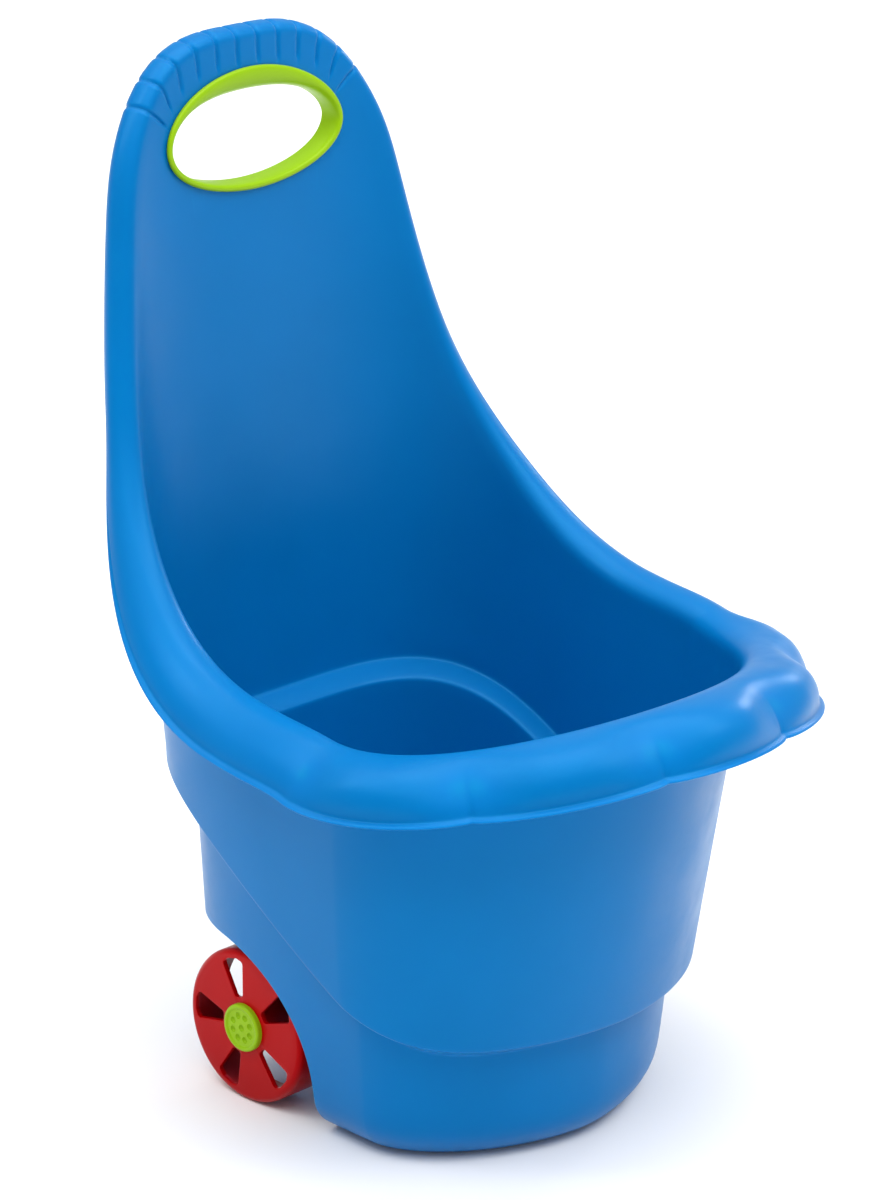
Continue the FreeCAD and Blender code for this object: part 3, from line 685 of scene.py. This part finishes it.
# %% Prisms from an outline
def prism(name, outline, travel):
    """A flat face laid on an outline in millimetres, extruded by a travel in millimetres."""
    piece = ring_mesh(name, len(outline), fill="NGON")
    lay(piece, range(len(outline)), to_metres(outline))
    bpy.ops.mesh.extrude_region_move(TRANSFORM_OT_translate={"value": Vector(travel) * MM})
    return outwards(piece)


def join(pieces, name):
    """Several pieces that don't touch, as one."""
    deselect_all()
    for piece in pieces:
        piece.select_set(True)
    bpy.context.view_layer.objects.active = pieces[0]
    bpy.ops.object.join()
    pieces[0].name = name
    return pieces[0]


# %% The recess and its liner
RECESS_ROUND, RECESS_LINE, RECESS_ROOF = 79.0, 115.5, 102.2
FAR_BACK, UNDER_FLOOR, SIDEWAYS = 295.0, -10.0, 264.0
ROUND_STEPS = 24
LINER_OVER, LINER_INSET, BLOCK_SKIP = 3.0 * WALL, 0.4 * WALL, 3


def recess_space(name, more):
    """The space that the wheels stand in, grown by some millimetres: upright front, round corner, flat roof."""
    radius, centre_height = RECESS_ROUND + more, RECESS_ROOF - RECESS_ROUND
    outline = [(-SIDEWAYS, RECESS_LINE - radius, UNDER_FLOOR)]
    for step in range(ROUND_STEPS + 1):
        turn = math.radians(180.0 - 90.0 * step / ROUND_STEPS)
        outline.append((-SIDEWAYS, RECESS_LINE + radius * math.cos(turn),
                        centre_height + radius * math.sin(turn)))
    outline += [(-SIDEWAYS, FAR_BACK, RECESS_ROOF + more), (-SIDEWAYS, FAR_BACK, UNDER_FLOOR)]
    return prism(name, outline, (2.0 * SIDEWAYS, 0.0, 0.0))


def low_block(top, inset):
    """The low part of the bucket as a filled block, a little inside its outer skin."""
    chosen = columns[::BLOCK_SKIP]
    block_rows = [[low_point(c.angle, 0.0, inset + BASE_ROUND) for c in chosen]]
    for turn in range(75, 0, -15):
        sine, cosine = sine_cosine(turn)
        block_rows.append([low_point(c.angle, BASE_ROUND * (1.0 - sine), inset + BASE_ROUND * (1.0 - cosine))
                           for c in chosen])
    for part in (0.25, 0.5, 0.75, 1.0):
        height = BASE_ROUND + part * (top - BASE_ROUND)
        block_rows.append([low_point(c.angle, height, inset) for c in chosen])
    return closed_skin("low_block", block_rows)


liner = low_block(RECESS_ROOF + LINER_OVER, LINER_INSET)
boolean(liner, recess_space("liner_space", WALL), "INTERSECT")
boolean(tub, liner, "UNION")
boolean(tub, recess_space("recess_space", 0.0), "DIFFERENCE")
print("with the recess:", triangles(tub), "triangles")

# %% The axle's brackets
BRACKET_LINE, BRACKET_WALL, BOSS_ROUND, BOSS_LONG = 77.5, 5.0, 24.0, 10.0
BRACKET_TOP, BRACKET_RIM, AXLE_BORE = 38.0, 4.0, 8.1
BRACKET_SOFT, BRACKET_SHARP, ROD_SIDES = 0.6, 40.0, 64


def rod(name, radius, low, high):
    """A cylinder on the axle's line, from one place along X to another, in millimetres."""
    place = to_metres((0.5 * (low + high), AXLE_LINE, AXLE_HEIGHT))
    piece = add(bpy.ops.mesh.primitive_cylinder_add, name, vertices=ROD_SIDES, radius=radius * MM,
                depth=abs(high - low) * MM, location=place, rotation=(0.0, math.radians(90.0), 0.0))
    bpy.ops.object.transform_apply()
    return piece


def bracket(side):
    """A tongue that hangs from the recess's roof round the axle, with a boss on it and its edges softened."""
    radius, rise = 0.5 * BOSS_ROUND + BRACKET_RIM, RECESS_ROOF + 0.5 * WALL - AXLE_HEIGHT
    low_x = side * BRACKET_LINE - 0.5 * BRACKET_WALL
    outline = [(low_x, AXLE_LINE + BRACKET_TOP, AXLE_HEIGHT + rise),
               (low_x, AXLE_LINE - BRACKET_TOP, AXLE_HEIGHT + rise)]
    start = math.atan2(rise, -BRACKET_TOP) + math.acos(radius / math.hypot(BRACKET_TOP, rise))
    for step in range(ROUND_STEPS + 1):
        turn = start + step / ROUND_STEPS * (3.0 * math.pi - 2.0 * start)
        outline.append((low_x, AXLE_LINE + radius * math.cos(turn), AXLE_HEIGHT + radius * math.sin(turn)))
    plate = prism("bracket_plate", outline, (BRACKET_WALL, 0.0, 0.0))
    boolean(plate, rod("boss", 0.5 * BOSS_ROUND, side * BRACKET_LINE - 0.5 * BOSS_LONG,
                       side * BRACKET_LINE + 0.5 * BOSS_LONG), "UNION")
    soften(plate, BRACKET_SOFT, BRACKET_SHARP)
    return plate


boolean(tub, join([bracket(-1.0), bracket(1.0)], "brackets"), "UNION")
print("with the brackets:", triangles(tub), "triangles")

# %% The bore and the hand hole
HOLE_WIDTH, HOLE_RISE, HOLE_FALL, HOLE_LINE = 131.2, 31.4, 30.9, 549.4
HOLE_POWER, HOLE_BEND, HOLE_EASE = 1.95, 2.8, 2.0
RING_COLUMNS = 96


def hole_outline(turn, more):
    """A place on the hand hole's outline, seen from the front, as (across, height)."""
    sine, cosine = sine_cosine(turn)
    across = (0.5 * HOLE_WIDTH + HOLE_EASE + more) * signed_power(cosine, 2.0 / HOLE_POWER)
    tall = (HOLE_RISE if sine > 0.0 else HOLE_FALL) + HOLE_EASE + more
    bend = HOLE_BEND * (2.0 * across / HOLE_WIDTH) ** 2
    return across, HOLE_LINE + tall * signed_power(sine, 2.0 / HOLE_POWER) - bend


ring_turns = [360.0 * index / RING_COLUMNS for index in range(RING_COLUMNS)]
hole = [hole_outline(turn, 0.0) for turn in ring_turns]
hole_space = prism("hole_space", [(across, 0.5 * REAR_REACH, height) for across, height in hole],
                   (0.0, REAR_REACH, 0.0))
bores = rod("bores", 0.5 * AXLE_BORE, -SIDE_REACH, SIDE_REACH)
boolean(tub, join([hole_space, bores], "spaces"), "DIFFERENCE")
smooth(tub, TUB_CREASE)
tub.name = "tub_moulding"
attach(tub, "cart")
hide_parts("tub")
print("the finished tub has", triangles(tub), "triangles")

# %% [markdown]
# ## The grip ring
# A second, softer plastic lines the hand hole: a rounded flange in front, a sleeve through the wall that is
# fattest at the top where the fingers curl round it, and a flat lock ring behind that snaps over the sleeve.
# Each is a loop swept round the hole. A curve with a bevel object could do it, but its section would be the same
# everywhere, so the same ring-by-ring growing is used, and the last ring is bridged to the first.

# %% Sections of the two rings
FLANGE, GRIP_SWELL, SLEEVE_WALL, SLEEVE_DEPTH, FIT_GAP, SAME_ROW = 2.6, 9.6, 1.5, 11.0, 0.3, 0.02


def grip_section(turn):
    """The grip ring's loop in parts, as (out from the hole's edge, forward of the wall) poles."""
    swell = GRIP_SWELL * max(0.0, math.sin(math.radians(turn))) ** 1.5
    inner, rear = -SLEEVE_WALL - FIT_GAP - swell, -SLEEVE_DEPTH
    edge, side = (FLANGE, FIT_GAP), -FIT_GAP
    front = [edge, (FLANGE + 0.5, 1.0), (FLANGE + 0.1, 2.6), (0.9, 3.2), (inner * 0.35, 2.8),
             (inner * 0.75, 0.8), (inner, -0.3 * SLEEVE_DEPTH), (inner, -0.7 * SLEEVE_DEPTH), (inner * 0.95, rear)]
    behind = [front[-1], (0.6 * inner, rear - 0.8), (side - 1.0, rear - 0.4), (side, rear + 1.5)]
    sleeve_side = [behind[-1], (side, 0.6 * rear), (side, 0.3 * rear), (side, FIT_GAP)]
    seat = [sleeve_side[-1], (0.3 * FLANGE, FIT_GAP), (0.6 * FLANGE, FIT_GAP), edge]
    return front, behind, sleeve_side, seat


def lock_section(turn):
    """The lock ring's loop, behind the wall; it is the same all the way round."""
    face, inner = -WALL - FIT_GAP, 0.15
    seat = [(inner, face), (0.3 * FLANGE, face), (0.6 * FLANGE, face), (FLANGE, face)]
    outside = [seat[-1], (FLANGE + 0.5, face - 1.6), (FLANGE - 0.6, face - 4.0), (1.6, face - 4.8),
               (inner, face - 4.2)]
    return seat, outside, [outside[-1], (inner, face - 2.8), (inner, face - 1.4), seat[0]]


# %% Both rings, round the hole
def ring_piece(name, section, spans):
    """Sweeps a section round the hand hole and closes it onto itself."""
    ring_rows = []
    for part in range(len(section(0.0))):
        poles = []
        for turn in ring_turns:
            column = []
            for out, forward in section(turn)[part]:
                across, height = hole_outline(turn, out)
                column.append((across, back_wall_depth(across, height, WALL) - forward, height))
            poles.append(column)
        ring_rows += spline_rows(np.array(poles), spans)[:-1]
    kept = [ring_rows[0]]
    for row in ring_rows[1:]:
        if np.abs(row - kept[-1]).max() > SAME_ROW:
            kept.append(row)
    piece = closed_loop(name, kept)
    smooth(piece, RING_CREASE)
    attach(piece, "cart")
    print(name, triangles(piece), "triangles")
    return piece


grip = ring_piece("grip_lining", grip_section, 3)
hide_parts("grip_ring")
lock = ring_piece("grip_lock", lock_section, 2)
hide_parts("grip_lock_ring")

# %% [markdown]
# ## Wheels and hub caps
# A toy wheel is a cup: a front plate with five windows, a tread wall behind it, and a hub in the middle with a
# socket that hides the axle's end. Everything but the windows is round, so half a section is spun about the axle
# and its seam is merged. The windows are cut with five prisms and their edges softened, as an injection mould
# leaves them. The left wheel is made first and its mesh copied and mirrored for the right.

# %% Spin a section about the axle
WHEEL_FACE, WHEEL_WIDTH, WHEEL_ROUND, PLATE_WALL, TREAD_WALL = 114.6, 28.0, 95.0, 3.0, 3.0
HUB_ROUND, SOCKET_ROUND, SOCKET_DEEP, HUB_PROUD = 32.0, 24.0, 9.0, 2.0
HUB_PLAY, SPIN_STEPS, SEAM_MERGE = 0.03, 120, 0.002


def corner(centre, radius, first, last, steps=5):
    """Places on a round corner, as (radius from the axle, distance behind the wheel's face)."""
    return [(centre[0] + radius * math.cos(math.radians(first + (last - first) * k / steps)),
             centre[1] + radius * math.sin(math.radians(first + (last - first) * k / steps)))
            for k in range(steps + 1)]


def turned(name, section, side, closed=True):
    """Lays a section in the plane above the axle and spins it all the way round."""
    piece = ring_mesh(name, len(section))
    places = [(side * (WHEEL_FACE - behind), AXLE_LINE, AXLE_HEIGHT + radius) for radius, behind in section]
    lay(piece, range(len(section)), to_metres(places))
    if not closed:
        mesh = bmesh.from_edit_mesh(piece.data)
        mesh.edges.ensure_lookup_table()
        last = {mesh.verts[0], mesh.verts[len(section) - 1]}
        for edge in mesh.edges:
            edge.select = set(edge.verts) == last
        bmesh.update_edit_mesh(piece.data)
        bpy.ops.mesh.delete(type="EDGE")
        bpy.ops.mesh.select_all(action="SELECT")
    bpy.ops.mesh.spin(steps=SPIN_STEPS, angle=2.0 * math.pi, center=to_metres((0.0, AXLE_LINE, AXLE_HEIGHT)),
                      axis=(1.0, 0.0, 0.0))
    bpy.ops.mesh.select_all(action="SELECT")
    bpy.ops.mesh.remove_doubles(threshold=SEAM_MERGE * MM)
    return outwards(piece)


# %% The wheel's section and its windows
WINDOW_INNER, WINDOW_OUTER, WINDOW_NARROW, WINDOW_WIDE = 18.0, 42.0, 6.5, 17.5
WINDOW_TURN, WINDOWS, WINDOW_CUT = 16.0, 5, 12.0
SHOULDER_DROP, TIP_SHARE, CORNER_SHARE = 2.5, 0.45, 0.36
WHEEL_SOFT, WHEEL_SHARP = 0.45, 50.0


def wheel_section():
    out, hub, socket = 0.5 * WHEEL_ROUND, 0.5 * HUB_ROUND, 0.5 * SOCKET_ROUND
    bore = 0.5 * AXLE_BORE + HUB_PLAY
    inside, back = out - TREAD_WALL, WHEEL_WIDTH
    section = [(socket + 0.5, 0.0), (out - 9.0, 0.0), (out - 4.0, 0.0)]
    section += corner((out - 4.0, 4.0), 4.0, -78.0, 0.0, 6)
    section += [(out, 14.0)] + corner((out - 1.2, back - 1.2), 1.2, 0.0, 90.0, 3)
    section += corner((inside + 0.5, back - 0.5), 0.5, 90.0, 180.0, 2)
    section += [(inside, 14.0)] + corner((inside - 1.5, PLATE_WALL + 1.5), 1.5, 0.0, -90.0, 4)
    section += [(30.0, PLATE_WALL)] + corner((hub + 1.5, PLATE_WALL + 1.5), 1.5, -90.0, -180.0, 4)
    section += corner((hub - 0.6, back + HUB_PROUD - 0.6), 0.6, 0.0, 90.0, 2)
    section += [(bore + 0.5, back + HUB_PROUD), (bore, back + HUB_PROUD - 0.5), (bore, SOCKET_DEEP)]
    return section + [(socket - 0.4, SOCKET_DEEP), (socket, SOCKET_DEEP - 0.4), (socket, 0.5)]


def rounded(corners, radius, steps=4):
    """An outline with each of its corners rounded."""
    made = []
    for before, here, after in zip(corners[-1:] + corners[:-1], corners, corners[1:] + corners[:1]):
        into = (Vector(before) - Vector(here)).normalized()
        away = (Vector(after) - Vector(here)).normalized()
        half_angle = 0.5 * into.angle(away)
        centre = Vector(here) + (into + away).normalized() * (radius / math.sin(half_angle))
        cut = radius / math.tan(half_angle)
        start, end = Vector(here) + into * cut, Vector(here) + away * cut
        for k in range(steps + 1):
            way = (start - centre).normalized().slerp((end - centre).normalized(), k / steps)
            made.append(tuple(centre + way * radius))
    return made


def window_prisms(side):
    narrow, wide = 0.5 * WINDOW_NARROW, 0.5 * WINDOW_WIDE
    shoulder, tip = WINDOW_OUTER - SHOULDER_DROP, TIP_SHARE * wide
    corners = [(-narrow, WINDOW_INNER), (narrow, WINDOW_INNER), (wide, shoulder),
               (tip, WINDOW_OUTER), (-tip, WINDOW_OUTER), (-wide, shoulder)]
    outline = rounded(corners, CORNER_SHARE * WINDOW_NARROW)
    prisms = []
    for index in range(WINDOWS):
        turn = math.radians(360.0 * index / WINDOWS - WINDOW_TURN)
        places = [(side * (WHEEL_FACE - 0.5 * WINDOW_CUT), AXLE_LINE + y * math.cos(turn) - z * math.sin(turn),
                   AXLE_HEIGHT + y * math.sin(turn) + z * math.cos(turn)) for y, z in outline]
        prisms.append(prism("window", places, (side * WINDOW_CUT, 0.0, 0.0)))
    return join(prisms, "windows")


LEFT = -1.0
wheel = turned("wheel_left_moulding", wheel_section(), LEFT)
boolean(wheel, window_prisms(LEFT), "DIFFERENCE")
soften(wheel, WHEEL_SOFT, WHEEL_SHARP)
smooth(wheel, WHEEL_CREASE)
print("a wheel has", triangles(wheel), "triangles")

# %% The hub cap: a dished disc with a raised edge and a ring of dimples
CAP_ROUND, CAP_PROUD, CAP_SKIRT, CAP_THICK = 29.4, 3.6, 6.0, 0.8
DIMPLES, DIMPLE_LINE, DIMPLE_BALL, DIMPLE_DEEP, CAP_DISH = 8, 7.6, 2.3, 1.7, 0.85


def cap_section():
    out, skirt = 0.5 * CAP_ROUND, 0.5 * SOCKET_ROUND - 0.15
    section = [(0.0, -CAP_THICK), (skirt - 1.75, -CAP_THICK), (skirt - 1.75, CAP_SKIRT),
               (skirt - 0.3, CAP_SKIRT),
               (skirt, CAP_SKIRT - 0.5), (skirt, 0.0), (out, 0.0)]
    section += corner((out - 1.5, -CAP_PROUD + 1.5), 1.5, 0.0, -90.0, 5)
    section += [(out - 2.0, -CAP_PROUD), (out - 2.6, -CAP_PROUD + 0.35), (out - 3.1, -CAP_PROUD + 0.9),
                (out - 3.8, -CAP_PROUD + 1.05)]
    return section + [(6.0, -CAP_PROUD + 0.9), (2.5, -CAP_PROUD + 0.8), (0.0, -CAP_PROUD + 0.8)]


def dimple(across, up):
    sink = DIMPLE_BALL - DIMPLE_DEEP
    place = to_metres((LEFT * (WHEEL_FACE + CAP_PROUD - CAP_DISH + sink), AXLE_LINE + across, AXLE_HEIGHT + up))
    ball = add(bpy.ops.mesh.primitive_uv_sphere_add, "dimple", segments=24, ring_count=16,
               radius=DIMPLE_BALL * MM, location=place)
    bpy.ops.object.transform_apply()
    return ball


cap = turned("hub_cap_left_moulding", cap_section(), LEFT, closed=False)
turns = [2.0 * math.pi * (k + 0.5) / DIMPLES for k in range(DIMPLES)]
balls = [dimple(DIMPLE_LINE * math.sin(turn), DIMPLE_LINE * math.cos(turn)) for turn in turns]
balls.append(dimple(0.0, 0.0))
boolean(cap, join(balls, "dimples"), "DIFFERENCE")
smooth(cap, WHEEL_CREASE)
print("a cap has", triangles(cap), "triangles")


# %% The right wheel and cap, mirrored
def mirrored(piece, name):
    """A copy with its own mesh, turned left to right, its faces outwards again."""
    make_active(piece)
    bpy.ops.object.duplicate()
    copy = bpy.context.object
    copy.name = name
    bpy.ops.transform.mirror(constraint_axis=(True, False, False), orient_type="GLOBAL",
            center_override=(0.0, 0.0, 0.0))
    bpy.ops.object.transform_apply()
    bpy.ops.object.mode_set(mode="EDIT")
    return outwards(copy)


wheels = {"left": (wheel, cap),
          "right": (mirrored(wheel, "wheel_right_moulding"), mirrored(cap, "hub_cap_right_moulding"))}
for side_name, (wheel_piece, cap_piece) in wheels.items():
    for piece, node, kind in ((wheel_piece, "wheel_" + side_name, "wheel"),
            (cap_piece, "hub_cap_" + side_name, "cap")):
        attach(piece, side_name + "_wheel")
        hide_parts(node)
        low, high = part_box(node)
        across = [vertex.co.x for vertex in piece.data.vertices]
        print(piece.name, "CAD x", round(low.x, 4), round(high.x, 4),
              "made x", round(min(across), 4), round(max(across), 4))

# %% [markdown]
# ## Finishes
# All the coloured pieces are injection moulded plastic: satin, slightly translucent to the eye, and never one
# flat colour. Each finish mixes two close tones by a large soft noise, adds the fine orange-peel of the mould as
# bump, varies its gloss in patches and pales a little on worn edges. The patterns read Object coordinates, so
# they stay on the piece when it moves. The sheen is tinted, and the blue has a little subsurface glow, because
# light that enters its walls comes out again close by. White sheen without glow looks like painted metal.

# %% A moulded plastic
def node(tree, kind, **settings):
    made = tree.nodes.new(kind)
    for name, value in settings.items():
        if name in made.inputs:
            made.inputs[name].default_value = value
        else:
            setattr(made, name, value)
    return made


def noise(tree, scale, detail, roughness=0.5):
    place = node(tree, "ShaderNodeTexCoord")
    made = node(tree, "ShaderNodeTexNoise", Scale=scale, Detail=detail, Roughness=roughness)
    tree.links.new(place.outputs["Object"], made.inputs["Vector"])
    return made.outputs["Fac"]


def spread(tree, source, low, high, start=0.35, end=0.65):
    """Turns a noise into values from low to high."""
    made = node(tree, "ShaderNodeMapRange")
    set_inputs(made, {"From Min": start, "From Max": end, "To Min": low, "To Max": high})
    tree.links.new(source, made.inputs["Value"])
    return made.outputs["Result"]


def mix(tree, factor, first, second):
    """Mixes two colours, each a constant or a socket."""
    made = node(tree, "ShaderNodeMix", data_type="RGBA")
    tree.links.new(factor, made.inputs["Factor"])
    for socket, colour in ((made.inputs[6], first), (made.inputs[7], second)):
        if isinstance(colour, tuple):
            socket.default_value = colour + (1.0,)
        else:
            tree.links.new(colour, socket)
    return made.outputs[2]


TONE_SCALE, WEAR_SCALE, GLOSS_SCALE = 9.0, 60.0, 26.0
WEAR_MOST, WEAR_START, WEAR_FULL = 0.55, 0.52, 0.60
GRAIN_STRENGTH, GRAIN_HEIGHT = 0.02, 0.0004
PLASTIC_IOR, PLASTIC_SHEEN = 1.49, 0.34
GLOW_DEPTH, GLOW_SPREAD = 0.006, (0.15, 0.6, 1.0)


def plastic(name, tone, other_tone, worn_tone, sheen_tone, gloss=(0.31, 0.41), grain=900.0, glow=0.0):
    """A moulded plastic: two close tones, fine grain, patchy gloss and paler worn edges."""
    look, tree, shader = new_look(name)
    body = mix(tree, spread(tree, noise(tree, TONE_SCALE, 3.0), 0.0, 1.0), tone, other_tone)
    edge = node(tree, "ShaderNodeNewGeometry").outputs["Pointiness"]
    wear = node(tree, "ShaderNodeMath", operation="MULTIPLY")
    tree.links.new(spread(tree, edge, 0.0, WEAR_MOST, WEAR_START, WEAR_FULL), wear.inputs[0])
    tree.links.new(spread(tree, noise(tree, WEAR_SCALE, 4.0), 0.2, 1.0), wear.inputs[1])
    tree.links.new(mix(tree, wear.outputs[0], body, worn_tone), shader.inputs["Base Color"])
    tree.links.new(spread(tree, noise(tree, GLOSS_SCALE, 5.0, 0.6), *gloss), shader.inputs["Roughness"])
    bump = node(tree, "ShaderNodeBump", Strength=GRAIN_STRENGTH, Distance=GRAIN_HEIGHT)
    tree.links.new(noise(tree, grain, 2.0), bump.inputs["Height"])
    tree.links.new(bump.outputs["Normal"], shader.inputs["Normal"])
    set_inputs(shader, {"IOR": PLASTIC_IOR, "Specular IOR Level": PLASTIC_SHEEN,
                        "Specular Tint": sheen_tone + (1.0,), "Subsurface Weight": glow,
                        "Subsurface Radius": GLOW_SPREAD, "Subsurface Scale": GLOW_DEPTH})
    return look


def dress(piece, look):
    piece.data.materials.clear()
    piece.data.materials.append(look)


BLUE = plastic("blue_plastic", (0.000, 0.150, 0.425), (0.000, 0.140, 0.398), (0.002, 0.215, 0.550),
               (0.14, 0.60, 1.0), glow=0.25)
LIME = plastic("lime_plastic", (0.265, 0.475, 0.004), (0.240, 0.440, 0.003), (0.380, 0.570, 0.016),
               (0.85, 1.0, 0.35), grain=1400.0)
RED = plastic("red_plastic", (0.395, 0.0000, 0.0010), (0.340, 0.0000, 0.0008), (0.500, 0.003, 0.004),
              (1.0, 0.08, 0.10))
dress(tub, BLUE)
for piece in (grip, lock, wheels["left"][1], wheels["right"][1]):
    dress(piece, LIME)
for pair in wheels.values():
    dress(pair[0], RED)


# %% [markdown]
# ## Steel and spacers
# The axle, push nuts and spacers are plain round parts that hardly show, so they keep their CAD shapes and only
# get a finish. Drawn steel has fine lines along the rod, so its noise is stretched along X.

# %% Steel and spacer finishes
LINE_SCALES, SPOT_SCALE = (40.0, 1400.0, 1400.0), 120.0
BRIGHT_STEEL, DULL_STEEL, STEEL_GLOSS = (0.56, 0.56, 0.57), (0.40, 0.40, 0.41), (0.28, 0.48)


def turned_steel(name):
    """Bright drawn steel: fine lines along the rod, patchy gloss and a few dull spots."""
    look, tree, shader = new_look(name)
    place = node(tree, "ShaderNodeTexCoord")
    stretch = node(tree, "ShaderNodeMapping", Scale=LINE_SCALES)
    tree.links.new(place.outputs["Object"], stretch.inputs["Vector"])
    lines = node(tree, "ShaderNodeTexNoise", Scale=1.0, Detail=3.0)
    tree.links.new(stretch.outputs["Vector"], lines.inputs["Vector"])
    spots = spread(tree, noise(tree, SPOT_SCALE, 4.0), 0.0, 1.0)
    tree.links.new(mix(tree, spots, BRIGHT_STEEL, DULL_STEEL), shader.inputs["Base Color"])
    tree.links.new(spread(tree, lines.outputs["Fac"], *STEEL_GLOSS), shader.inputs["Roughness"])
    bump = node(tree, "ShaderNodeBump", Strength=0.12, Distance=0.0002)
    tree.links.new(lines.outputs["Fac"], bump.inputs["Height"])
    tree.links.new(bump.outputs["Normal"], shader.inputs["Normal"])
    set_inputs(shader, {"Metallic": 1.0})
    return look


STEEL = turned_steel("drawn_steel")
SPACER = plastic("spacer_plastic", (0.62, 0.62, 0.60), (0.55, 0.55, 0.53), (0.72, 0.72, 0.70), (1.0, 1.0, 1.0),
                 gloss=(0.40, 0.55))
for name, look in (("axle", STEEL), ("push_nut_left", STEEL), ("push_nut_right", STEEL),
                   ("spacer_left", SPACER), ("spacer_right", SPACER)):
    dress(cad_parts[name], look)
print("finishes:", [look.name for look in bpy.data.materials])

# %% Close: update the view layer
bpy.context.view_layer.update()
